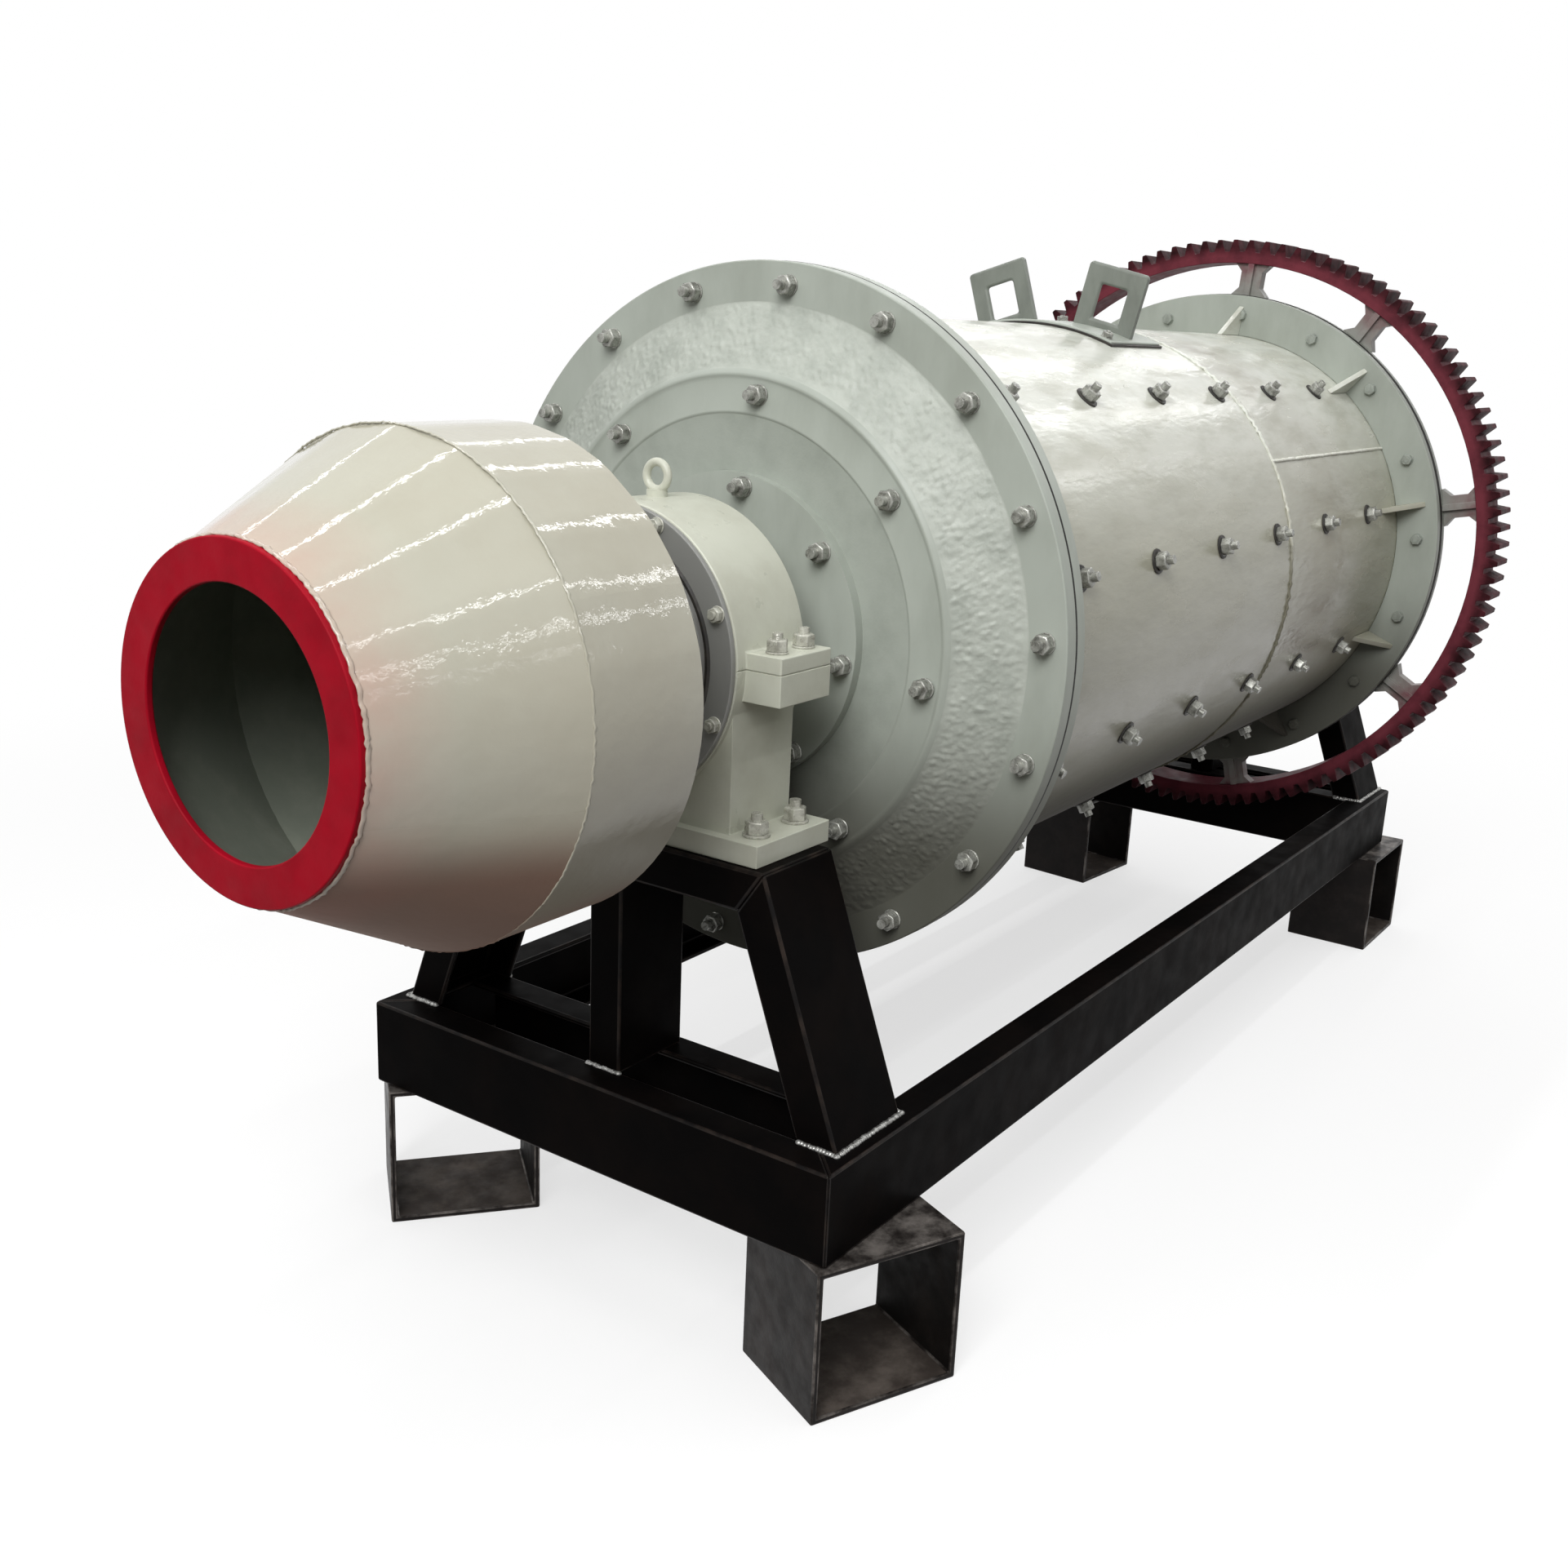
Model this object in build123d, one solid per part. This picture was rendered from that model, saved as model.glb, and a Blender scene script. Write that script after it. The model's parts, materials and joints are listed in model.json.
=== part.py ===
from build123d import *
import math
import os

# A small overflow ball mill on a welded channel stand: a hollow drum with a drum
# feeder on its feed trunnion and a girth gear at its far end, carried by two split
# pillow blocks. Millimetres, +X from the feed mouth to the gear, +Z up.
# Stations along X are measured from the outer face of the front cover's flange.

# Stand: feet, base frame and trestles
FOOT_HEIGHT = 237.0
FOOT_WIDTH = 245.0
FOOT_LENGTH = 195.0
FOOT_WALL = 10.0
FRAME_CHANNEL_HEIGHT = 140.0
FRAME_CHANNEL_FLANGE = 58.0
FRAME_WEB = 8.0
FRAME_FLANGE_THICKNESS = 10.0
FRAME_HALF_WIDTH = 445.0
FRAME_FRONT_OVERHANG = 53.0
FRAME_REAR_OVERHANG = 6.0
FRAME_DRUM_GAP = 95.0
LEG_FOOT_INSET = 25.0
TRESTLE_CHANNEL_WIDTH = 165.0
TRESTLE_CHANNEL_DEPTH = 63.0
TRESTLE_WEB = 8.0
TRESTLE_FLANGE_THICKNESS = 10.0
POST_WIDTH = 147.0
POST_THICKNESS = 60.0
POST_WALL = 8.0
FRONT_TRESTLE_OFFSET = 16.0
REAR_TRESTLE_OFFSET = 0.0

# Each foot stands under a corner: its setting in from the frame's end and side, and
# its turn about the vertical, in degrees
FRONT_FOOT_SETBACK = 137.0
REAR_FOOT_SETBACK = 55.0
FOOT_SIDE_INSET = {"front_left": 50.0, "front_right": 39.0, "rear_left": 73.0, "rear_right": 60.0}
FOOT_TURN = {"front_left": -38.8, "front_right": -24.0, "rear_left": -5.5, "rear_right": 0.0}

# Pillow blocks
BEAM_PLATE_MARGIN = 20.0
PEDESTAL_PLATE_THICKNESS = 32.0
PEDESTAL_PLATE_LENGTH = 175.0
PEDESTAL_PLATE_LAP = 60.0
PEDESTAL_INSET = 10.0
PEDESTAL_LENGTH = 141.0
HOUSING_WALL = 90.0
HOUSING_FLOOR = 22.0
HOUSING_LENGTH = 157.0
BLOCK_LUG_REACH = 58.0
BLOCK_LUG_LENGTH = 118.0
CAP_LUG_HEIGHT = 24.0
BASE_LUG_HEIGHT = 44.0
BEARING_COVER_INSET = 2.0
BEARING_COVER_THICKNESS = 10.0
BEARING_COLLAR_WALL = 45.0
BEARING_COLLAR_HEIGHT = 12.0
EYE_RING_RADIUS = 19.0
EYE_WIRE_RADIUS = 6.0
EYE_COLLAR_RADIUS = 15.0
EYE_COLLAR_HEIGHT = 9.0
FRONT_BEARING_GAP = 75.5
REAR_BEARING_GAP = 23.5

# Drum shell and its flanges
SHELL_LENGTH = 1825.0
SHELL_RADIUS = 470.0
SHELL_WALL = 12.0
SHELL_FLANGE_THICKNESS = 28.0
FRONT_FLANGE_HEIGHT = 70.0
REAR_FLANGE_HEIGHT = 90.0
GUSSET_COUNT = 10
GUSSET_LENGTH = 110.0
GUSSET_STEP = 24.0
GUSSET_THICKNESS = 12.0
GUSSET_PHASE = -13.0

# Manhole, on top near the middle of the shell
MANHOLE_OFFSET = 9.5
MANHOLE_HALF_LENGTH = 80.0
MANHOLE_HALF_ANGLE = 17.0
LID_LAP = 30.0
LID_LAP_ANGLE = 5.0
LID_THICKNESS = 8.0
# Each handle: its place round the shell from the top, and its lean from upright there
HANDLE_ANGLE = {"left": -11.5, "right": 13.0}
HANDLE_LEAN = {"left": -6.0, "right": 0.0}
HANDLE_WIDTH = 122.0
HANDLE_HEIGHT = 114.0
HANDLE_THICKNESS = 12.0
HANDLE_SIDE_BAR = 33.0
HANDLE_TOP_BAR = 36.0
HANDLE_FOOT_BAR = 14.0

# End covers: widths of their bands, and rises outward from the flange's outer face
COVER_FLANGE_THICKNESS = 28.0
FLANGE_BAND = 59.0
DISC_BAND = 66.0
SEAT_BAND = 83.0
RIDGE_RISE = 49.0
STEP_RISE = 57.0
STEP_DEPTH = 6.0
SEAT_RISE = 45.0
COVER_WALL = 34.0
SPIGOT_DEPTH = 20.0
SPIGOT_WALL = 17.0

# Trunnions
JOURNAL_RADIUS = 120.0
TRUNNION_WALL = 35.0
TRUNNION_SPIGOT_WALL = 25.0
TRUNNION_FLANGE_BAND = 86.0
TRUNNION_FLANGE_THICKNESS = 18.0
TRUNNION_ROOT_STEP = 30.0
TRUNNION_ROOT_LENGTH = 17.0
FEED_FLANGE_HEIGHT = 55.0
FEED_FLANGE_THICKNESS = 18.0
DISCHARGE_REACH = 60.0

# Drum feeder
FEEDER_GAP = 205.0
FEEDER_RADIUS = 321.0
FEEDER_BARREL_LENGTH = 192.0
FEEDER_CONE_LENGTH = 222.0
FEEDER_WALL = 6.0
FEEDER_BACK_THICKNESS = 10.0
FEEDER_BACK_INSET = 4.0
MOUTH_RADIUS = 208.5
MOUTH_RING_WIDTH = 50.0
MOUTH_RING_THICKNESS = 10.0

# Girth gear
MODULE = 12.0
TOOTH_ADDENDUM = 12.0
TOOTH_DEDENDUM = 15.0
TOOTH_TIP_SHARE = 0.26
TOOTH_ROOT_SHARE = 0.70
GEAR_RIM_THICKNESS = 25.0
GEAR_FACE_WIDTH = 95.0
GEAR_RIM_SETBACK = 10.0
HUB_RING_THICKNESS = 28.0
SPOKE_LENGTH = 72.0
SPOKE_HALF_WIDTH = 25.0
SPOKE_FLARE = 17.0
SPOKE_FLARE_LENGTH = 18.0
SPOKE_THICKNESS = 28.0
SPOKE_RIB_WIDTH = 14.0
SPOKE_RIB_HEIGHT = 12.0
# Places of the spokes from the near side upward: even, but for one that stands nearer its neighbour
SPOKE_ANGLES = (11.5, 56.5, 86.0, 146.5, 191.5, 236.5, 283.5, 328.5)

# Clearances
RUNNING_CLEARANCE = 0.5
COLLAR_CLEARANCE = 3.0
SEAT_CLEARANCE = 0.2

# Radii about the mill axis, from the journal and the shell outward
BORE_RADIUS = JOURNAL_RADIUS - TRUNNION_WALL
HUB_BORE_RADIUS = BORE_RADIUS + TRUNNION_SPIGOT_WALL
HOUSING_RADIUS = JOURNAL_RADIUS + HOUSING_WALL
FEED_FLANGE_RADIUS = JOURNAL_RADIUS + FEED_FLANGE_HEIGHT
TRUNNION_ROOT_RADIUS = JOURNAL_RADIUS + TRUNNION_ROOT_STEP
TRUNNION_FLANGE_RADIUS = TRUNNION_ROOT_RADIUS + TRUNNION_FLANGE_BAND
STEP_RADIUS = TRUNNION_FLANGE_RADIUS + SEAT_BAND
RIDGE_RADIUS = STEP_RADIUS + DISC_BAND
FRONT_FLANGE_RADIUS = SHELL_RADIUS + FRONT_FLANGE_HEIGHT
REAR_FLANGE_RADIUS = SHELL_RADIUS + REAR_FLANGE_HEIGHT
CONE_RADIUS = FRONT_FLANGE_RADIUS - FLANGE_BAND
GEAR_RIM_RADIUS = REAR_FLANGE_RADIUS + SPOKE_LENGTH
TOOTH_COUNT = round(2 * (GEAR_RIM_RADIUS + GEAR_RIM_THICKNESS + TOOTH_DEDENDUM) / MODULE)

# Half widths of the pillow blocks and the trestles
PEDESTAL_HALF_WIDTH = HOUSING_RADIUS - PEDESTAL_INSET
PEDESTAL_PLATE_HALF_WIDTH = PEDESTAL_HALF_WIDTH + PEDESTAL_PLATE_LAP
TRESTLE_TOP_HALF_WIDTH = PEDESTAL_PLATE_HALF_WIDTH + BEAM_PLATE_MARGIN
TRESTLE_FOOT_HALF_WIDTH = FRAME_HALF_WIDTH - LEG_FOOT_INSET

# Levels above the floor
FRAME_TOP = FOOT_HEIGHT + FRAME_CHANNEL_HEIGHT
AXIS_HEIGHT = FRAME_TOP + FRAME_DRUM_GAP + FRONT_FLANGE_RADIUS
PLATE_TOP = AXIS_HEIGHT - HOUSING_RADIUS - HOUSING_FLOOR
TRESTLE_TOP = PLATE_TOP - PEDESTAL_PLATE_THICKNESS

# Stations along the mill axis
FRONT_FACE = 0.0
SHELL_START = FRONT_FACE + COVER_FLANGE_THICKNESS
SHELL_END = SHELL_START + SHELL_LENGTH
MANHOLE_STATION = SHELL_START + SHELL_LENGTH / 2 + MANHOLE_OFFSET
HUB_RING_END = SHELL_END + HUB_RING_THICKNESS
REAR_FACE = HUB_RING_END + COVER_FLANGE_THICKNESS
TRUNNION_ROOT_END = SEAT_RISE + TRUNNION_FLANGE_THICKNESS + TRUNNION_ROOT_LENGTH
FRONT_BEARING = FRONT_FACE - TRUNNION_ROOT_END - FRONT_BEARING_GAP - HOUSING_LENGTH / 2
REAR_BEARING = REAR_FACE + TRUNNION_ROOT_END + REAR_BEARING_GAP + HOUSING_LENGTH / 2
FRONT_TRESTLE = FRONT_BEARING - FRONT_TRESTLE_OFFSET
REAR_TRESTLE = REAR_BEARING + REAR_TRESTLE_OFFSET
FRAME_START = FRONT_TRESTLE - TRESTLE_CHANNEL_WIDTH / 2 - FRAME_FRONT_OVERHANG
FRAME_END = REAR_TRESTLE + TRESTLE_CHANNEL_WIDTH / 2 + FRAME_REAR_OVERHANG
FEEDER_BACK = FRONT_BEARING - HOUSING_LENGTH / 2 - BEARING_COVER_THICKNESS - FEEDER_GAP
FEEDER_SEAM = FEEDER_BACK - FEEDER_BARREL_LENGTH
FEEDER_FRONT = FEEDER_SEAM - FEEDER_CONE_LENGTH

parts = {}


def box_between(x, y, z):
    """A block that spans three (low, high) pairs."""
    size = [high - low for low, high in (x, y, z)]
    middle = [(high + low) / 2 for low, high in (x, y, z)]
    return Pos(*middle) * Box(*size)


def turned(points):
    """A ring about the mill axis, turned from (station, radius) points."""
    outline = make_face(Polyline(*points, close=True))
    return Pos(0, 0, AXIS_HEIGHT) * revolve(Plane.XZ * outline, Axis.X)


def tube(start, end, inner, outer):
    """A plain ring about the mill axis."""
    return turned([(start, inner), (end, inner), (end, outer), (start, outer)])


def slab(outline, start, thickness):
    """A flat outline drawn across the mill, thickened along X from a station."""
    return extrude(Pos(start, 0, 0) * (Plane.YZ * outline), thickness, dir=(1, 0, 0))


def about_axis(solid, degrees):
    """A solid drawn at the top of the mill axis, swung about that axis."""
    return Pos(0, 0, AXIS_HEIGHT) * Rot(X=degrees) * solid


def frame_beam(outline, pocket):
    """A channel of the base frame from its plan outline, hollowed between its flanges."""
    plan = Pos(0, 0, FOOT_HEIGHT) * make_face(Polyline(*outline, close=True))
    bar = extrude(plan, FRAME_CHANNEL_HEIGHT, dir=(0, 0, 1))
    z = (FOOT_HEIGHT + FRAME_FLANGE_THICKNESS, FRAME_TOP - FRAME_FLANGE_THICKNESS)
    return bar - box_between(pocket[0], pocket[1], z)


def make_frame():
    """Four mitred channels, webs outward, and an inner channel at each end."""
    flange = FRAME_CHANNEL_FLANGE
    inner_edge = FRAME_HALF_WIDTH - flange
    for side, name in ((1, "left"), (-1, "right")):
        outline = [
            (FRAME_START, side * FRAME_HALF_WIDTH),
            (FRAME_END, side * FRAME_HALF_WIDTH),
            (FRAME_END - flange, side * inner_edge),
            (FRAME_START + flange, side * inner_edge),
        ]
        span = sorted((side * (FRAME_HALF_WIDTH - FRAME_WEB), 0))
        parts[f"side_beam_{name}"] = frame_beam(outline, ((FRAME_START, FRAME_END), span))
    for end, trestle, inward, name in (
        (FRAME_START, FRONT_TRESTLE, 1, "front"),
        (FRAME_END, REAR_TRESTLE, -1, "rear"),
    ):
        outline = [
            (end, -FRAME_HALF_WIDTH),
            (end, FRAME_HALF_WIDTH),
            (end + inward * flange, inner_edge),
            (end + inward * flange, -inner_edge),
        ]
        span = sorted((end + inward * FRAME_WEB, end + inward * 2 * flange))
        across = (-FRAME_HALF_WIDTH, FRAME_HALF_WIDTH)
        parts[f"{name}_cross_beam"] = frame_beam(outline, (span, across))
        web = trestle + inward * TRESTLE_CHANNEL_WIDTH / 2
        toe = web - inward * flange
        outline = [(web, -inner_edge), (web, inner_edge), (toe, inner_edge), (toe, -inner_edge)]
        span = sorted((web - inward * FRAME_WEB, toe - inward * FRAME_WEB))
        parts[f"{name}_inner_beam"] = frame_beam(outline, (span, across))


def make_foot(name):
    """A short length of box section, open front and back, under one corner of the frame."""
    end, side = name.split("_")
    x = FRAME_START + FRONT_FOOT_SETBACK if end == "front" else FRAME_END - REAR_FOOT_SETBACK
    y = (FRAME_HALF_WIDTH - FOOT_SIDE_INSET[name]) * (1 if side == "left" else -1)
    hollow = Box(FOOT_WIDTH - 2 * FOOT_WALL, FOOT_LENGTH, FOOT_HEIGHT - 2 * FOOT_WALL)
    section = Box(FOOT_WIDTH, FOOT_LENGTH, FOOT_HEIGHT) - hollow
    parts[f"foot_{name}"] = Pos(x, y, FOOT_HEIGHT / 2) * Rot(Z=FOOT_TURN[name]) * section


def trestle_bar(outline, pocket, middle):
    """A channel of a trestle from its outline across the mill, hollowed between its flanges."""
    start = middle - TRESTLE_CHANNEL_WIDTH / 2
    bar = slab(make_face(Polyline(*outline, close=True)), start, TRESTLE_CHANNEL_WIDTH)
    depth = TRESTLE_CHANNEL_WIDTH - 2 * TRESTLE_FLANGE_THICKNESS
    return bar - slab(make_face(Polyline(*pocket, close=True)), start + TRESTLE_FLANGE_THICKNESS, depth)


def make_trestle(name, middle, outward):
    """Two splayed legs and a bearing beam, mitred at the corners, with a post between."""
    splay = (TRESTLE_FOOT_HALF_WIDTH - TRESTLE_TOP_HALF_WIDTH) / (TRESTLE_TOP - FRAME_TOP)
    slant = math.hypot(1, splay)
    inner = TRESTLE_CHANNEL_DEPTH * slant
    web = TRESTLE_WEB * slant
    under = TRESTLE_TOP - TRESTLE_CHANNEL_DEPTH
    corner = TRESTLE_TOP_HALF_WIDTH + splay * TRESTLE_CHANNEL_DEPTH - inner
    for side, hand in ((1, "left"), (-1, "right")):
        outline = [
            (side * TRESTLE_FOOT_HALF_WIDTH, FRAME_TOP),
            (side * TRESTLE_TOP_HALF_WIDTH, TRESTLE_TOP),
            (side * corner, under),
            (side * (TRESTLE_FOOT_HALF_WIDTH - inner), FRAME_TOP),
        ]
        pocket = [
            (side * (TRESTLE_FOOT_HALF_WIDTH - web), FRAME_TOP),
            (side * (TRESTLE_TOP_HALF_WIDTH - web), TRESTLE_TOP),
            (0, TRESTLE_TOP),
            (0, FRAME_TOP),
        ]
        parts[f"{name}_leg_{hand}"] = trestle_bar(outline, pocket, middle)
    outline = [
        (-TRESTLE_TOP_HALF_WIDTH, TRESTLE_TOP),
        (TRESTLE_TOP_HALF_WIDTH, TRESTLE_TOP),
        (corner, under),
        (-corner, under),
    ]
    ceiling = TRESTLE_TOP - TRESTLE_WEB
    pocket = [
        (-TRESTLE_TOP_HALF_WIDTH, ceiling),
        (TRESTLE_TOP_HALF_WIDTH, ceiling),
        (TRESTLE_TOP_HALF_WIDTH, FRAME_TOP),
        (-TRESTLE_TOP_HALF_WIDTH, FRAME_TOP),
    ]
    parts[f"{name}_bearing_beam"] = trestle_bar(outline, pocket, middle)
    half = POST_THICKNESS / 2
    edge = middle + outward * TRESTLE_CHANNEL_WIDTH / 2
    post = box_between(sorted((edge, edge - outward * POST_WIDTH)), (-half, half), (FRAME_TOP, under))
    inner_faces = (edge - outward * POST_WALL, edge - outward * (POST_WIDTH - POST_WALL))
    hollow = box_between(sorted(inner_faces), (POST_WALL - half, half), (FRAME_TOP, under))
    parts[f"{name}_post"] = post - hollow


def make_bearing(name, bearing, outward):
    """A split pillow block: base with its plate, cap, cover ring and lifting eye."""
    half = HOUSING_LENGTH / 2
    span = (bearing - half, bearing + half)
    across = (-HOUSING_RADIUS, HOUSING_RADIUS)
    journal = tube(*span, 0.0, JOURNAL_RADIUS + RUNNING_CLEARANCE)
    barrel = tube(*span, 0.0, HOUSING_RADIUS)
    lower = box_between(span, across, (AXIS_HEIGHT - HOUSING_RADIUS, AXIS_HEIGHT))
    upper = box_between(span, across, (AXIS_HEIGHT, AXIS_HEIGHT + HOUSING_RADIUS))

    half = PEDESTAL_PLATE_LENGTH / 2
    wide = (-PEDESTAL_PLATE_HALF_WIDTH, PEDESTAL_PLATE_HALF_WIDTH)
    base = box_between((bearing - half, bearing + half), wide, (TRESTLE_TOP, PLATE_TOP))
    half = PEDESTAL_LENGTH / 2
    wide = (-PEDESTAL_HALF_WIDTH, PEDESTAL_HALF_WIDTH)
    base += box_between((bearing - half, bearing + half), wide, (PLATE_TOP, AXIS_HEIGHT))
    half = BLOCK_LUG_LENGTH / 2
    long = (bearing - half, bearing + half)
    reach = HOUSING_RADIUS + BLOCK_LUG_REACH
    wide = (-reach, reach)
    base += box_between(long, wide, (AXIS_HEIGHT - BASE_LUG_HEIGHT, AXIS_HEIGHT))
    base += barrel & lower
    parts[f"{name}_bearing_base"] = base - journal
    cap = (barrel & upper) + box_between(long, wide, (AXIS_HEIGHT, AXIS_HEIGHT + CAP_LUG_HEIGHT))
    parts[f"{name}_bearing_cap"] = cap - journal

    face = bearing + outward * HOUSING_LENGTH / 2
    plate = face + outward * BEARING_COVER_THICKNESS
    collar = plate + outward * BEARING_COLLAR_HEIGHT
    hole = JOURNAL_RADIUS + COLLAR_CLEARANCE
    rim = JOURNAL_RADIUS + BEARING_COLLAR_WALL
    edge = HOUSING_RADIUS - BEARING_COVER_INSET
    parts[f"{name}_bearing_cover"] = turned([
        (face, hole),
        (collar, hole),
        (collar, rim),
        (plate, rim),
        (plate, edge),
        (face, edge),
    ])

    crown = AXIS_HEIGHT + HOUSING_RADIUS
    middle = crown + EYE_COLLAR_HEIGHT + EYE_RING_RADIUS
    eye = Pos(bearing, 0, middle) * Rot(Y=90) * Torus(EYE_RING_RADIUS, EYE_WIRE_RADIUS)
    stem = Pos(bearing, 0, crown) * Cylinder(EYE_COLLAR_RADIUS, 2 * EYE_COLLAR_HEIGHT)
    stem -= tube(*span, 0.0, HOUSING_RADIUS)
    parts[f"{name}_lifting_eye"] = eye + stem


def make_shell():
    """The drum's shell with its manhole, its two flanges and the rear gussets."""
    wall = tube(SHELL_START, SHELL_END, SHELL_RADIUS - SHELL_WALL, SHELL_RADIUS)
    parts["shell"] = wall - manhole_sector(
        MANHOLE_HALF_LENGTH, MANHOLE_HALF_ANGLE, 0.0, SHELL_RADIUS + LID_THICKNESS
    )
    bore = SHELL_RADIUS + SEAT_CLEARANCE
    parts["shell_flange_front"] = tube(
        SHELL_START, SHELL_START + SHELL_FLANGE_THICKNESS, bore, FRONT_FLANGE_RADIUS
    )
    flange_face = SHELL_END - SHELL_FLANGE_THICKNESS
    parts["shell_flange_rear"] = tube(flange_face, SHELL_END, bore, REAR_FLANGE_RADIUS)
    top = REAR_FLANGE_RADIUS - GUSSET_STEP
    outline = make_face(Polyline(
        (flange_face, bore), (flange_face, top), (flange_face - GUSSET_LENGTH, bore), close=True
    ))
    rib = extrude(Plane.XZ * outline, GUSSET_THICKNESS / 2, both=True)
    rib -= Rot(Y=90) * Cylinder(bore, 2 * SHELL_END)
    turn = 360 / GUSSET_COUNT
    ribs = [about_axis(rib, 90 + GUSSET_PHASE + k * turn) for k in range(GUSSET_COUNT)]
    parts["shell_gussets"] = Compound(children=ribs)


def manhole_sector(half_length, half_angle, inner, outer):
    """A curved slab about the top of the shell at the manhole."""
    start = MANHOLE_STATION - half_length
    ring = tube(start, start + 2 * half_length, inner, outer)
    reach = 2 * outer
    side = reach * math.tan(math.radians(half_angle))
    wedge = make_face(Polyline((0, 0), (side, reach), (-side, reach), close=True))
    return ring & (Pos(0, 0, AXIS_HEIGHT) * slab(wedge, start, 2 * half_length))


def make_manhole():
    """The manhole's curved lid and its two plate handles."""
    seat = SHELL_RADIUS + SEAT_CLEARANCE
    crown = seat + LID_THICKNESS
    parts["manhole_lid"] = manhole_sector(
        MANHOLE_HALF_LENGTH + LID_LAP, MANHOLE_HALF_ANGLE + LID_LAP_ANGLE, seat, crown
    )
    top = crown + HANDLE_HEIGHT
    thick = (MANHOLE_STATION - HANDLE_THICKNESS / 2, MANHOLE_STATION + HANDLE_THICKNESS / 2)
    half = HANDLE_WIDTH / 2
    plate = box_between(thick, (-half, half), (seat, top))
    half -= HANDLE_SIDE_BAR
    plate -= box_between(thick, (-half, half), (crown + HANDLE_FOOT_BAR, top - HANDLE_TOP_BAR))
    lid = Pos(MANHOLE_STATION, 0, 0) * Rot(Y=90) * Cylinder(crown, 2 * HANDLE_THICKNESS)
    for side, angle in HANDLE_ANGLE.items():
        leaning = Pos(0, 0, crown) * Rot(X=HANDLE_LEAN[side]) * Pos(0, 0, -crown) * plate
        parts[f"manhole_handle_{side}"] = about_axis(leaning - lid, angle)


def make_cover(name, face, outward):
    """A cast end cover: flange, rough cone, bolted disc and the seat for its trunnion."""
    inside = -COVER_FLANGE_THICKNESS
    spigot = SHELL_RADIUS - SHELL_WALL - SEAT_CLEARANCE
    back = RIDGE_RISE - COVER_WALL
    profile = [
        (inside, FRONT_FLANGE_RADIUS),
        (0, FRONT_FLANGE_RADIUS),
        (0, CONE_RADIUS),
        (RIDGE_RISE, RIDGE_RADIUS),
        (STEP_RISE, STEP_RADIUS + STEP_DEPTH),
        (STEP_RISE, STEP_RADIUS),
        (STEP_RISE - STEP_DEPTH, STEP_RADIUS),
        (SEAT_RISE, TRUNNION_FLANGE_RADIUS),
        (SEAT_RISE, HUB_BORE_RADIUS),
        (back, HUB_BORE_RADIUS),
        (back, RIDGE_RADIUS),
        (inside, spigot - SPIGOT_WALL),
        (inside - SPIGOT_DEPTH, spigot - SPIGOT_WALL),
        (inside - SPIGOT_DEPTH, spigot),
        (inside, spigot),
    ]
    parts[f"{name}_end_cover"] = turned([(face + outward * rise, radius) for rise, radius in profile])


def make_trunnion(name, face, outward, tail):
    """A hollow trunnion on a cover's seat: flange, journal and what its tail ends in."""
    back = RIDGE_RISE - COVER_WALL
    flange = SEAT_RISE + TRUNNION_FLANGE_THICKNESS
    profile = [
        (back, BORE_RADIUS),
        (back, HUB_BORE_RADIUS - SEAT_CLEARANCE),
        (SEAT_RISE, HUB_BORE_RADIUS - SEAT_CLEARANCE),
        (SEAT_RISE, TRUNNION_FLANGE_RADIUS),
        (flange, TRUNNION_FLANGE_RADIUS),
        (flange, TRUNNION_ROOT_RADIUS),
        (flange + TRUNNION_ROOT_LENGTH, JOURNAL_RADIUS),
    ]
    profile += tail
    profile.append((tail[-1][0], BORE_RADIUS))
    parts[name] = turned([(face + outward * rise, radius) for rise, radius in profile])


def make_feeder():
    """The drum feeder: back plate, barrel, cone and red mouth ring."""
    back = FEEDER_BACK - FEEDER_BACK_INSET
    parts["feeder_back"] = tube(
        back - FEEDER_BACK_THICKNESS, back, BORE_RADIUS, FEEDER_RADIUS - FEEDER_WALL - SEAT_CLEARANCE
    )
    parts["feeder_barrel"] = tube(
        FEEDER_SEAM, FEEDER_BACK, FEEDER_RADIUS - FEEDER_WALL, FEEDER_RADIUS
    )
    parts["feeder_cone"] = turned([
        (FEEDER_SEAM, FEEDER_RADIUS - FEEDER_WALL),
        (FEEDER_SEAM, FEEDER_RADIUS),
        (FEEDER_FRONT, MOUTH_RADIUS),
        (FEEDER_FRONT, MOUTH_RADIUS - FEEDER_WALL),
    ])
    parts["feeder_mouth_ring"] = tube(
        FEEDER_FRONT - MOUTH_RING_THICKNESS, FEEDER_FRONT, MOUTH_RADIUS - MOUTH_RING_WIDTH, MOUTH_RADIUS
    )


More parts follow.
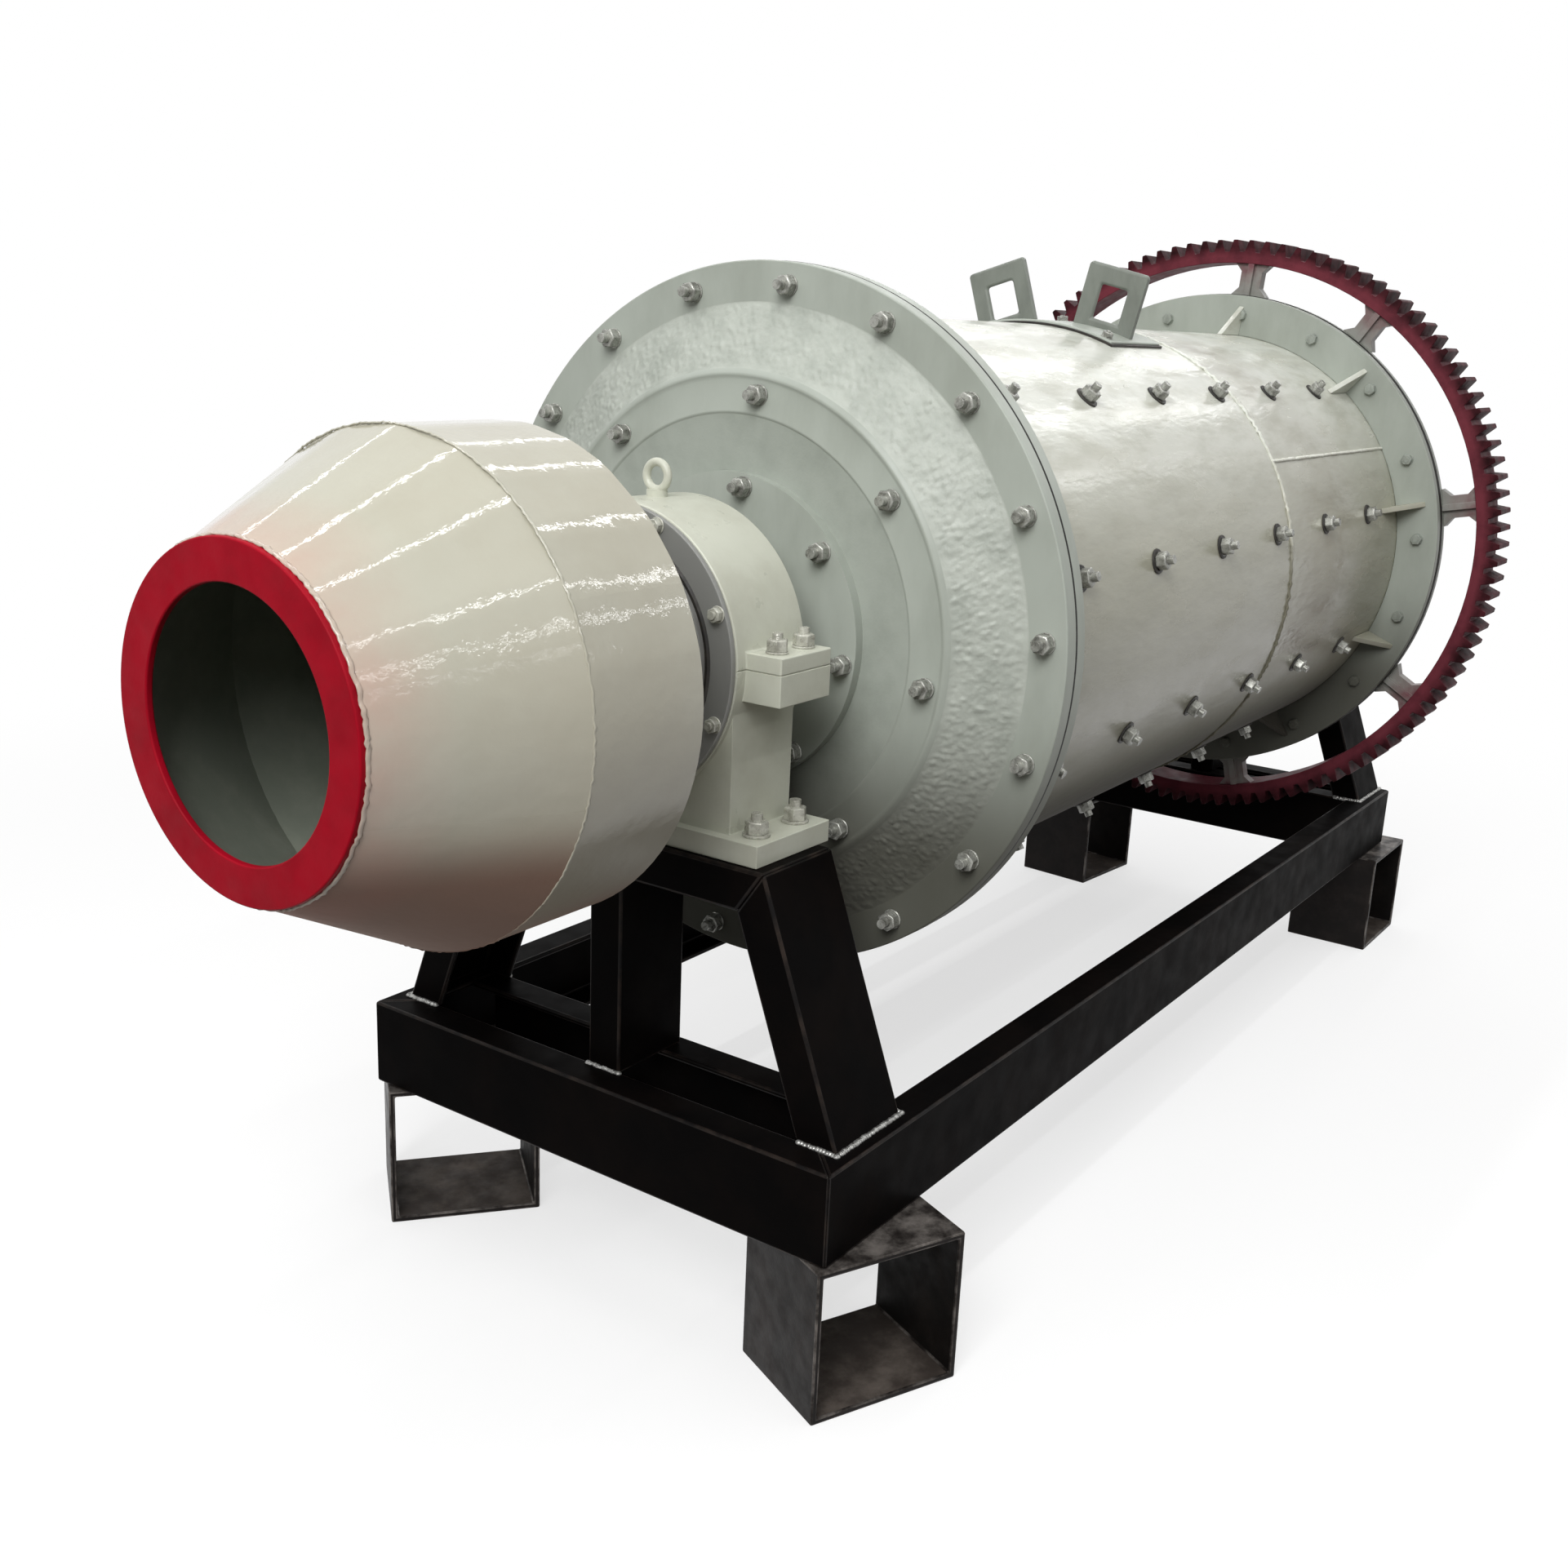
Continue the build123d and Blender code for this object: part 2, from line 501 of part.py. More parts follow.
def make_gear():
    """The girth gear: a toothed rim, a hub ring and the short flared spokes between them."""
    pitch_radius = MODULE * TOOTH_COUNT / 2
    step = 2 * math.pi / TOOTH_COUNT
    root = pitch_radius - TOOTH_DEDENDUM
    tip = pitch_radius + TOOTH_ADDENDUM
    corners = []
    for k in range(TOOTH_COUNT):
        for radius, share in (
            (root, -TOOTH_ROOT_SHARE),
            (tip, -TOOTH_TIP_SHARE),
            (tip, TOOTH_TIP_SHARE),
            (root, TOOTH_ROOT_SHARE),
        ):
            angle = step * (k + share / 2)
            corners.append((radius * math.cos(angle), radius * math.sin(angle)))
    blank = make_face(Polyline(*corners, close=True)) - Circle(GEAR_RIM_RADIUS)
    start = SHELL_END + GEAR_RIM_SETBACK
    parts["gear_rim"] = Pos(0, 0, AXIS_HEIGHT) * slab(blank, start, GEAR_FACE_WIDTH)

    parts["gear_hub_ring"] = tube(SHELL_END, HUB_RING_END, SHELL_RADIUS - SHELL_WALL, REAR_FLANGE_RADIUS)
    wide = SPOKE_HALF_WIDTH + SPOKE_FLARE
    waist = [
        (REAR_FLANGE_RADIUS - SPOKE_FLARE_LENGTH, wide),
        (REAR_FLANGE_RADIUS, wide),
        (REAR_FLANGE_RADIUS + SPOKE_FLARE_LENGTH, SPOKE_HALF_WIDTH),
        (GEAR_RIM_RADIUS - SPOKE_FLARE_LENGTH, SPOKE_HALF_WIDTH),
        (GEAR_RIM_RADIUS, wide),
        (GEAR_RIM_RADIUS + SPOKE_FLARE_LENGTH, wide),
    ]
    plate = make_face(Polyline(*waist, *[(along, -across) for along, across in reversed(waist)], close=True))
    middle = REAR_FLANGE_RADIUS + SPOKE_LENGTH / 2
    rib = Pos(middle, 0) * Rectangle(SPOKE_LENGTH + 2 * SPOKE_FLARE_LENGTH, SPOKE_RIB_WIDTH)
    gap = Circle(GEAR_RIM_RADIUS - SEAT_CLEARANCE) - Circle(REAR_FLANGE_RADIUS + SEAT_CLEARANCE)
    spoke = slab(plate & gap, start + SPOKE_RIB_HEIGHT, SPOKE_THICKNESS)
    spoke += slab(rib & gap, start, SPOKE_RIB_HEIGHT + SPOKE_THICKNESS)
    spokes = [about_axis(spoke, 180 - angle) for angle in SPOKE_ANGLES]
    parts["gear_spokes"] = Compound(children=spokes)


make_frame()
for corner in FOOT_TURN:
    make_foot(corner)
make_trestle("front", FRONT_TRESTLE, -1)
make_trestle("rear", REAR_TRESTLE, 1)
make_bearing("front", FRONT_BEARING, -1)
make_bearing("rear", REAR_BEARING, 1)
make_shell()
make_manhole()
make_cover("front", FRONT_FACE, -1)
make_cover("rear", REAR_FACE, 1)
feed_end = FRONT_FACE - FEEDER_BACK + FEEDER_BACK_INSET
make_trunnion("feed_trunnion", FRONT_FACE, -1, [
    (feed_end - FEED_FLANGE_THICKNESS, JOURNAL_RADIUS),
    (feed_end - FEED_FLANGE_THICKNESS, FEED_FLANGE_RADIUS),
    (feed_end, FEED_FLANGE_RADIUS),
])
discharge_end = REAR_BEARING - REAR_FACE + HOUSING_LENGTH / 2 + BEARING_COVER_THICKNESS + DISCHARGE_REACH
make_trunnion("discharge_trunnion", REAR_FACE, 1, [(discharge_end, JOURNAL_RADIUS)])
make_feeder()
make_gear()

# The origin is on the floor, under the middle of the whole object's box
boxes = [solid.bounding_box() for solid in parts.values()]
x_middle = (min(box.min.X for box in boxes) + max(box.max.X for box in boxes)) / 2
os.makedirs("parts", exist_ok=True)
for node, solid in parts.items():
    export_step(Pos(-x_middle, 0, 0) * solid, f"parts/{node}.step")
print(f"{len(parts)} nodes, front face of the front cover at x = {FRONT_FACE - x_middle:.3f}")
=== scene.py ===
import json
import logging
import math
import random
from contextlib import contextmanager
from dataclasses import dataclass, replace
from enum import Enum
from typing import Callable, Iterator, Sequence

import bpy
from mathutils import Matrix, Vector


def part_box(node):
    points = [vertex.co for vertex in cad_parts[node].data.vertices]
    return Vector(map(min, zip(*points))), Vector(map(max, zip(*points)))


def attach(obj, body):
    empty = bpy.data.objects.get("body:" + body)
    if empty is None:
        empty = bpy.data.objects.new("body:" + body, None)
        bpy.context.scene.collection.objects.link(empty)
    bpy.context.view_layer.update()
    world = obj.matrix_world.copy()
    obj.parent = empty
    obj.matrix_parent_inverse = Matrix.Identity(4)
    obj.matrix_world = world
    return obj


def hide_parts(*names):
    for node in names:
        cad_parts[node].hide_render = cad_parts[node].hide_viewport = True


# The looks of a small ball mill: a grey enamelled drum with its feeder, pillow blocks and
# girth gear, on a black welded stand. Sizes are millimetres until they reach a mesh.

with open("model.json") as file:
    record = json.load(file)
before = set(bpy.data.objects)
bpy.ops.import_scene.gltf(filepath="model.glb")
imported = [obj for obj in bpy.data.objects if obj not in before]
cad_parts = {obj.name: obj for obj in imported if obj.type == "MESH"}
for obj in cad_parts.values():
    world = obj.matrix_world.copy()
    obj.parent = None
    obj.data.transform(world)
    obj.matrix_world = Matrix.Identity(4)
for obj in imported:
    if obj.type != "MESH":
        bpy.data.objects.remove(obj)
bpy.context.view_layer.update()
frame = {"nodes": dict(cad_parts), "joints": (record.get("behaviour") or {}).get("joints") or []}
LOG = logging.getLogger("ball_mill")
MM = 0.001
AXIS_HEIGHT = frame["joints"][0]["pos_m"][2] / MM
# A hexagon nut looks the same again after this turn, in degrees
HEX_TURN = 60.0
# Points closer than this are one, in millimetres
MERGE_GAP = 0.02


class Body(Enum):
    """The two bodies that pieces ride on."""

    STAND = "stand"
    DRUM = "drum"


class Slot(Enum):
    """The record's material slots."""

    BLACK = "black_paint"
    MILL_SCALE = "mill_scale_steel"
    WARM = "warm_grey_enamel"
    SAGE = "sage_grey_enamel"
    DARK = "dark_grey_enamel"
    RED = "red_paint"
    MAROON = "maroon_paint"
    STEEL = "machined_steel"


class End(Enum):
    """The mill's two ends, with the way along X that faces out of each."""

    FRONT = -1
    REAR = 1

    @property
    def word(self) -> str:
        """The end's name as the CAD nodes write it."""
        return self.name.lower()


# Modelling steps shared by every sub-assembly


def deselect() -> None:
    """Leave nothing selected, so that the next operator acts on one piece only."""
    bpy.ops.object.select_all(action="DESELECT")


def focus(piece: bpy.types.Object) -> None:
    """Select one piece alone and make it active."""
    deselect()
    piece.select_set(True)
    bpy.context.view_layer.objects.active = piece


@contextmanager
def editing(piece: bpy.types.Object, everything: bool = True) -> Iterator[bpy.types.Mesh]:
    """Edit mode on one piece.

    Args:
        piece: the piece to shape.
        everything: whether all of its mesh starts selected.

    Returns:
        The piece's mesh, for the length of the block.
    """
    focus(piece)
    bpy.ops.object.mode_set(mode="EDIT")
    if everything:
        bpy.ops.mesh.select_all(action="SELECT")
    yield piece.data
    bpy.ops.object.mode_set(mode="OBJECT")


def start(kind: str, **settings: object) -> bpy.types.Object:
    """Add a primitive to shape.

    Args:
        kind: the primitive's name, such as cylinder.
        settings: its size and place, in metres.

    Returns:
        The new object.
    """
    deselect()
    getattr(bpy.ops.mesh, f"primitive_{kind}_add")(**settings)
    return bpy.context.object


def modify(piece: bpy.types.Object, kind: str, **settings: object) -> None:
    """Add a modifier to a piece and apply it.

    Args:
        piece: the piece to finish.
        kind: the modifier's type.
        settings: the modifier's own settings.
    """
    focus(piece)
    bpy.ops.object.modifier_add(type=kind)
    modifier = piece.modifiers[-1]
    for key, value in settings.items():
        setattr(modifier, key, value)
    bpy.ops.object.modifier_apply(modifier=modifier.name)


def round_edges(
    piece: bpy.types.Object, width: float, segments: int = 2, angle: float = 35.0, layer: int = -1
) -> None:
    """Break a piece's sharp edges.

    Args:
        piece: the piece to finish.
        width: the rounding's width in millimetres.
        segments: faces across the rounding.
        angle: the least angle in degrees between faces that counts as an edge.
        layer: the material slot that the rounding takes, or -1 for its neighbours' own.
    """
    modify(piece, "BEVEL", width=width * MM, segments=segments, limit_method="ANGLE",
           angle_limit=math.radians(angle), material=layer)


def smooth(piece: bpy.types.Object, angle: float = 32.0) -> None:
    """Shade a piece smooth, apart from edges sharper than an angle in degrees, with its flats kept flat."""
    focus(piece)
    bpy.ops.object.shade_smooth_by_angle(angle=math.radians(angle))
    modify(piece, "WEIGHTED_NORMAL", mode="FACE_AREA", weight=50, keep_sharp=True)


def settle(piece: bpy.types.Object) -> None:
    """Put a piece's place, turn and size into its mesh."""
    focus(piece)
    bpy.ops.object.transform_apply(location=True, rotation=True, scale=True)


def join(parts: Sequence[bpy.types.Object]) -> bpy.types.Object:
    """Join several meshes into the first of them.

    Args:
        parts: the objects to join.

    Returns:
        The first object, which now holds all of them.
    """
    deselect()
    for part in parts:
        part.select_set(True)
    bpy.context.view_layer.objects.active = parts[0]
    if len(parts) > 1:
        bpy.ops.object.join()
    return parts[0]


def copy_to(template: bpy.types.Object, place: Matrix) -> bpy.types.Object:
    """A copy of a template with its own mesh, put where a matrix says.

    Args:
        template: the object to copy, at the origin.
        place: where the copy's mesh goes.

    Returns:
        The copy.
    """
    twin = template.copy()
    twin.data = template.data.copy()
    twin.data.transform(place)
    bpy.context.scene.collection.objects.link(twin)
    return twin


def repeat(template: bpy.types.Object, places: Sequence[Matrix]) -> bpy.types.Object:
    """Many copies of a template joined as one mesh; the template goes.

    Args:
        template: the object to copy, at the origin.
        places: where each copy goes.

    Returns:
        The joined copies.
    """
    joined = join([copy_to(template, place) for place in places])
    bpy.data.objects.remove(template)
    return joined


def unpick(piece: bpy.types.Object) -> None:
    """Leave nothing of a piece's mesh selected."""
    with editing(piece):
        bpy.ops.mesh.select_all(action="DESELECT")


def from_node(
    node: str, edge: float = 0.0, segments: int = 2, layers: Sequence["Finish"] = ()
) -> bpy.types.Object:
    """A clean copy of a CAD node's mesh, merged and with its edges broken.

    Args:
        node: the CAD node's name.
        edge: the rounding's width in millimetres, or 0 for none.
        segments: faces across the rounding.
        layers: the finish of its faces and that of its worn edges, where the edges are worn.

    Returns:
        The copy.
    """
    source = frame["nodes"][node]
    piece = bpy.data.objects.new(f"{node}_copy", source.data.copy())
    piece.data.materials.clear()
    bpy.context.scene.collection.objects.link(piece)
    with editing(piece):
        bpy.ops.mesh.customdata_custom_splitnormals_clear()
        bpy.ops.mesh.remove_doubles(threshold=MERGE_GAP * MM)
        bpy.ops.mesh.tris_convert_to_quads(face_threshold=math.radians(0.5), shape_threshold=math.pi)
    for layer in layers:
        piece.data.materials.append(layer.material())
    if edge:
        round_edges(piece, edge, segments, layer=len(layers) - 1)
    smooth(piece)
    return piece


def turned(profile: Sequence[tuple[float, float]], steps: int = 128) -> bpy.types.Object:
    """A ring about the mill axis, spun from a closed outline.

    Args:
        profile: (station, radius) points in millimetres, in order.
        steps: copies of the outline round the axis.

    Returns:
        The ring, its edges still sharp.
    """
    piece = start("circle", vertices=len(profile), radius=1.0, fill_type="NOTHING")
    for vertex, (station, radius) in zip(piece.data.vertices, profile):
        vertex.co = (station * MM, 0.0, (AXIS_HEIGHT + radius) * MM)
    with editing(piece):
        bpy.ops.mesh.spin(steps=steps, angle=2 * math.pi, center=(0, 0, AXIS_HEIGHT * MM), axis=(1, 0, 0))
        bpy.ops.mesh.select_all(action="SELECT")
        bpy.ops.mesh.remove_doubles(threshold=MERGE_GAP / 2 * MM)
        bpy.ops.mesh.normals_make_consistent(inside=False)
    return piece


def about_axis(station: float, radius: float, angle: float) -> Vector:
    """A point about the mill axis, in millimetres.

    Args:
        station: the place along X.
        radius: the distance from the axis.
        angle: degrees from the near side, going up over the top.

    Returns:
        The point.
    """
    turn = math.radians(angle)
    return Vector((station, -radius * math.cos(turn), AXIS_HEIGHT + radius * math.sin(turn)))


def upright(point: Vector, way: Vector, turn: float = 0.0) -> Matrix:
    """A matrix that stands a template, drawn along +Z from the origin, on a point.

    Args:
        point: where the foot goes, in millimetres.
        way: the direction in which the template then points.
        turn: degrees that it is first turned about its own axis.

    Returns:
        The matrix, in metres.
    """
    lean = way.to_track_quat("Z", "Y").to_matrix().to_4x4()
    return Matrix.Translation(point * MM) @ lean @ Matrix.Rotation(math.radians(turn), 4, "Z")


def bolt_ring(
    station: float, radius: float, count: int, phase: float, way: int, draw: random.Random
) -> list[Matrix]:
    """Places of the bolts in a ring about the mill axis.

    Args:
        station: where they stand along X, in millimetres.
        radius: the radius of their ring.
        count: how many there are.
        phase: the first one's angle in degrees.
        way: 1 where they point along X, -1 where they point against it.
        draw: the seeded source of their turns.

    Returns:
        The bolts' matrices.
    """
    out = Vector((way, 0, 0))
    return [
        upright(about_axis(station, radius, phase + 360 / count * k), out, draw.uniform(0, HEX_TURN))
        for k in range(count)
    ]


def outward(angle: float) -> Vector:
    """The direction away from the mill axis, at an angle that about_axis takes."""
    return about_axis(0, 1, angle) - about_axis(0, 0, 0)


def from_axis(point: Vector) -> float:
    """How far a mesh point lies from the mill axis, in millimetres."""
    return math.hypot(point.y, point.z - AXIS_HEIGHT * MM) / MM


def looks_in(face: bpy.types.MeshPolygon) -> bool:
    """Whether a face looks towards the mill axis."""
    away = face.center - Vector((face.center.x, 0, AXIS_HEIGHT * MM))
    return face.normal.dot(away) < 0


def span_mm(node: str) -> tuple[Vector, Vector]:
    """A CAD node's lowest and highest corners, in millimetres."""
    low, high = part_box(node)
    return low / MM, high / MM


def radius_mm(node: str) -> float:
    """Half of a CAD node's width across the mill, in millimetres."""
    low, high = span_mm(node)
    return (high.y - low.y) / 2


# Finishes


def to_linear(colour: str) -> tuple[float, float, float, float]:
    """An sRGB hex colour as linear RGBA.

    Args:
        colour: the colour as #rrggbb.

    Returns:
        The linear colour, opaque.
    """
    shares = [int(colour[k:k + 2], 16) / 255 for k in (1, 3, 5)]
    return (*[s / 12.92 if s <= 0.04045 else ((s + 0.055) / 1.055) ** 2.4 for s in shares], 1.0)


def add_node(tree: bpy.types.NodeTree, kind: str, inputs: dict, **settings: object) -> bpy.types.Node:
    """Add a shader node with its settings and links.

    Args:
        tree: the material's or world's node tree.
        kind: the node's type, without its ShaderNode prefix.
        inputs: for each input, by name or number, a socket to link or a value to set.
        settings: the node's own settings.

    Returns:
        The node.
    """
    node = tree.nodes.new("ShaderNode" + kind)
    for key, value in settings.items():
        setattr(node, key, value)
    for socket, value in inputs.items():
        if isinstance(value, bpy.types.NodeSocket):
            tree.links.new(value, node.inputs[socket])
        else:
            node.inputs[socket].default_value = value
    return node


# Noise values between which a stain, a patch of the pale dust and painted highlight, or a smear comes in
STAIN_EDGES = (0.36, 0.74)
DUST_AND_HIGHLIGHT_EDGES = (0.34, 0.6)
SMEAR_EDGES = (0.3, 0.7)
# Sizes of the patches of pale dust and painted highlight, the smears and the paint's mist as shares of the
# stains' size
DUST_AND_HIGHLIGHT_SIZE = 0.3
SMEAR_SIZE = 0.4
MIST_SIZE = 0.5
# Heights of the plate's waves and of the paint's peel as shares of their sizes
WAVE_HEIGHT = 0.06
PEEL_HEIGHT = 0.2


@dataclass(frozen=True)
class Canvas:
    """A material's nodes, with object coordinates as they are and drawn out the way the paint ran."""

    tree: bpy.types.NodeTree
    where: bpy.types.NodeSocket
    flow: bpy.types.NodeSocket

    def noise(self, size: float, detail: float, roughness: float = 0.5) -> bpy.types.NodeSocket:
        """A cloudy pattern that runs with the paint.

        Args:
            size: the real size of its grain, in millimetres.
            detail: how many finer grains lie in it.
            roughness: how strong each finer grain is beside the one before.

        Returns:
            The pattern's socket, from 0 to 1.
        """
        return add_node(self.tree, "TexNoise", {
            "Vector": self.flow, "Scale": 1.0 / (size * MM), "Detail": detail,
            "Roughness": roughness}).outputs["Fac"]

    def ramp(
        self, value: bpy.types.NodeSocket, span: tuple[float, float], least: object, most: object,
        soft: bool = True,
    ) -> bpy.types.NodeSocket:
        """A share that goes from one level to another while a value crosses a span.

        Args:
            value: the value's socket.
            span: where the share starts to change and where it ends.
            least: the share at the start, as a number or a socket.
            most: the share at the end.
            soft: whether it eases in and out.

        Returns:
            The share's socket.
        """
        return add_node(self.tree, "MapRange", {
            "Value": value, "From Min": span[0], "From Max": span[1], "To Min": least, "To Max": most},
            interpolation_type="SMOOTHSTEP" if soft else "LINEAR").outputs[0]

    def rise(self, reach: tuple[float, float], most: object) -> bpy.types.NodeSocket:
        """How far up or down a layer has come in.

        Args:
            reach: the heights about the mill axis where the layer starts and is full, in millimetres.
            most: its share where it is full, as a number or a socket.

        Returns:
            The share's socket.
        """
        height = add_node(self.tree, "SeparateXYZ", {"Vector": self.where}).outputs["Z"]
        first, full = ((AXIS_HEIGHT + level) * MM for level in reach)
        return self.ramp(height, (first, full), 0.0, most)

    def coat(self, under: object, colour: str, share: bpy.types.NodeSocket) -> bpy.types.NodeSocket:
        """A colour laid over another.

        Args:
            under: the colour below, as linear RGBA or a socket.
            colour: the colour above, as #rrggbb.
            share: how much of it covers.

        Returns:
            The mixed colour's socket.
        """
        mix = add_node(self.tree, "Mix", {0: share, 6: under, 7: to_linear(colour)}, data_type="RGBA")
        return mix.outputs[2]


@dataclass(frozen=True)
class Finish:
    """A paint or metal surface: a colour with stains in it, a gloss and the grain that light shows.

    Sizes are millimetres. The under shade is painted shade that darkens the lower side, and the dust and
    highlight is pale dust with a painted highlight on the upper one; their reaches are the heights about the
    mill axis between which they come in. The under shade's dullness starts higher than its colour, by the
    dull lead.
    """

    name: str
    slot: Slot
    colour: str
    stain: str
    stain_size: float
    stain_share: float
    roughness: float
    roughness_spread: float = 0.08
    metallic: float = 0.0
    specular: float = 0.5
    peel_size: float = 3.0
    peel: float = 0.05
    wave_size: float = 90.0
    wave: float = 0.0
    stretch: tuple[float, float, float] = (1.0, 1.0, 1.0)
    film: str = "#463f33"
    film_reach: tuple[float, float] = (0.0, -1.0)
    film_share: float = 0.0
    film_roughness: float = 0.7
    dull_lead: float = 0.0
    dust: str = "#dcdfd6"
    dust_reach: tuple[float, float] = (0.0, 1.0)
    dust_share: float = 0.0
    dust_break: float = 0.5

    def tint(self, canvas: Canvas) -> bpy.types.NodeSocket:
        """The surface's colour: the paint, its soft stains, then pale dust with a painted highlight above and
        painted shade below.

        Args:
            canvas: what the finish is drawn on.

        Returns:
            The colour's socket.
        """
        patches = canvas.ramp(canvas.noise(self.stain_size, 6.0, 0.62), STAIN_EDGES, 0.0, self.stain_share)
        colour = canvas.coat(to_linear(self.colour), self.stain, patches)
        # Pale dust with a painted highlight over the upper side
        if self.dust_share:
            dust_and_highlight_patches = canvas.noise(self.stain_size * DUST_AND_HIGHLIGHT_SIZE, 5.0, 0.6)
            thin = self.dust_share * (1.0 - self.dust_break)
            thick = canvas.ramp(dust_and_highlight_patches, DUST_AND_HIGHLIGHT_EDGES, thin, self.dust_share)
            colour = canvas.coat(colour, self.dust, canvas.rise(self.dust_reach, thick))
        # Painted shade darkening the lower side
        if self.film_share:
            colour = canvas.coat(colour, self.film, canvas.rise(self.film_reach, self.film_share))
        return colour

    def grain(self, canvas: Canvas) -> bpy.types.NodeSocket:
        """The surface's fine relief: slow waves of the plate under the orange peel of the paint.

        Args:
            canvas: what the finish is drawn on.

        Returns:
            The normal's socket.
        """
        under = {}
        for size, detail, strength, height in (
            (self.wave_size, 2.0, self.wave, WAVE_HEIGHT),
            (self.peel_size, 3.0, self.peel, PEEL_HEIGHT),
        ):
            bump = add_node(canvas.tree, "Bump", {
                "Height": canvas.noise(size, detail), "Strength": strength, "Distance": size * height * MM,
                **under})
            under = {"Normal": bump.outputs[0]}
        return under["Normal"]

    def gloss(self, canvas: Canvas) -> bpy.types.NodeSocket:
        """The surface's roughness: smeared, and dull where the painted shade lies below.

        Args:
            canvas: what the finish is drawn on.

        Returns:
            The roughness's socket.
        """
        smears = canvas.noise(self.stain_size * SMEAR_SIZE, 5.0)
        least, most = self.roughness - self.roughness_spread, self.roughness + self.roughness_spread
        rough = canvas.ramp(smears, SMEAR_EDGES, least, most, soft=False)
        if not self.film_share:
            return rough
        depth = canvas.rise((self.film_reach[0] + self.dull_lead, self.film_reach[1]), 1.0)
        dull = add_node(canvas.tree, "Mix", {0: depth, 2: rough, 3: self.film_roughness}, data_type="FLOAT")
        return dull.outputs[0]

    def material(self) -> bpy.types.Material:
        """The finish as a material, made once.

        Returns:
            The material.
        """
        made = bpy.data.materials.get(self.name)
        if made:
            return made
        made = bpy.data.materials.new(self.name)
        made.use_nodes = True
        tree = made.node_tree
        tree.nodes.clear()
        where = add_node(tree, "TexCoord", {}).outputs["Object"]
        flow = add_node(tree, "Mapping", {
            "Vector": where, "Scale": tuple(1.0 / length for length in self.stretch)}).outputs[0]
        canvas = Canvas(tree, where, flow)
        shader = add_node(tree, "BsdfPrincipled", {
            "Base Color": self.tint(canvas), "Roughness": self.gloss(canvas), "Metallic": self.metallic,
            "Specular IOR Level": self.specular, "Normal": self.grain(canvas)})
        add_node(tree, "OutputMaterial", {"Surface": shader.outputs[0]})
        return made


@dataclass(frozen=True)
class Overspray(Finish):
    """A paint that a second colour has been sprayed over, from one radius about the mill axis to another."""

    spray: str = "#000000"
    spray_from: float = 0.0
    spray_to: float = 1.0
    spray_share: float = 1.0
    spray_break: float = 0.3

    def tint(self, canvas: Canvas) -> bpy.types.NodeSocket:
        """The first paint, with the second fading in between the two radii.

        Args:
            canvas: what the finish is drawn on.

        Returns:
            The colour's socket.
        """
        tree = canvas.tree
        parts = add_node(tree, "SeparateXYZ", {"Vector": canvas.where})
        lift = add_node(tree, "Math", {0: parts.outputs["Z"], 1: AXIS_HEIGHT * MM}, operation="SUBTRACT")
        flat = add_node(tree, "CombineXYZ", {"Y": parts.outputs["Y"], "Z": lift.outputs[0]})
        radius = add_node(tree, "VectorMath", {0: flat.outputs[0]}, operation="LENGTH").outputs["Value"]
        mist = canvas.noise(self.stain_size * MIST_SIZE, 6.0)
        thin = self.spray_share * (1.0 - self.spray_break)
        broken = canvas.ramp(mist, SMEAR_EDGES, thin, self.spray_share, soft=False)
        share = canvas.ramp(radius, (self.spray_from * MM, self.spray_to * MM), 0.0, broken, soft=False)
        return canvas.coat(super().tint(canvas), self.spray, share)


# Brushed alkyd enamel on the pillow blocks' castings: a pale grey-green, half glossy on its round cap
WARM_ENAMEL = Finish("warm_grey_alkyd_enamel", Slot.WARM, "#c2c4b6", "#a3a292", 110.0, 0.45, 0.34,
                     specular=0.45, peel_size=6.0, peel=0.14, wave_size=60.0, wave=0.2)
# Alkyd enamel on the rolled shell: brushed along the drum, pale dust with a painted highlight above, dark
# painted shade underneath
SHELL_ENAMEL = Finish("shell_alkyd_enamel", Slot.WARM, "#adac9b", "#8f8e7a", 150.0, 0.6, 0.22, 0.1,
                      peel_size=16.0, peel=0.35, wave_size=60.0, wave=0.5, stretch=(3.0, 1.0, 1.0),
                      film="#1f1a10", film_reach=(-110.0, -355.0), film_share=0.97, film_roughness=0.95,
                      dust="#e4e7df", dust_reach=(60.0, 400.0), dust_share=0.7)
# The feeder's enamel, glossy, with a red mist round its mouth from the brush that painted the ring, and brown
# painted shade over its underside
FEEDER_ENAMEL = Overspray("feeder_alkyd_enamel", Slot.WARM, "#afad9e", "#a09a87", 300.0, 0.5, 0.07, 0.02,
                          specular=0.65, peel_size=16.0, peel=0.18, wave_size=110.0, wave=0.35,
                          film="#6b4636", film_reach=(-170.0, -310.0), film_share=0.9,
                          film_roughness=0.75, dull_lead=150.0,
                          spray="#c4877c", spray_from=255.0, spray_to=215.0, spray_share=0.4, spray_break=0.9)
# The same enamel on the cone, whose narrower underside carries the painted shade higher up
CONE_ENAMEL = replace(FEEDER_ENAMEL, name="feeder_alkyd_enamel_on_cone", film_reach=(-70.0, -175.0),
                      film_share=0.85, dull_lead=40.0)
# Enamel on a machined cast cover: a greener grey, satin, with painted shade darkening its lower half
SAGE_ENAMEL = Finish("sage_grey_enamel_on_casting", Slot.SAGE, "#a6aca3", "#8c9187", 130.0, 0.6, 0.42,
                     specular=0.4, peel_size=6.0, peel=0.14, wave_size=70.0, wave=0.14,
                     stretch=(1.0, 1.0, 2.5), film="#3b382e", film_reach=(-30.0, -320.0), film_share=0.85)
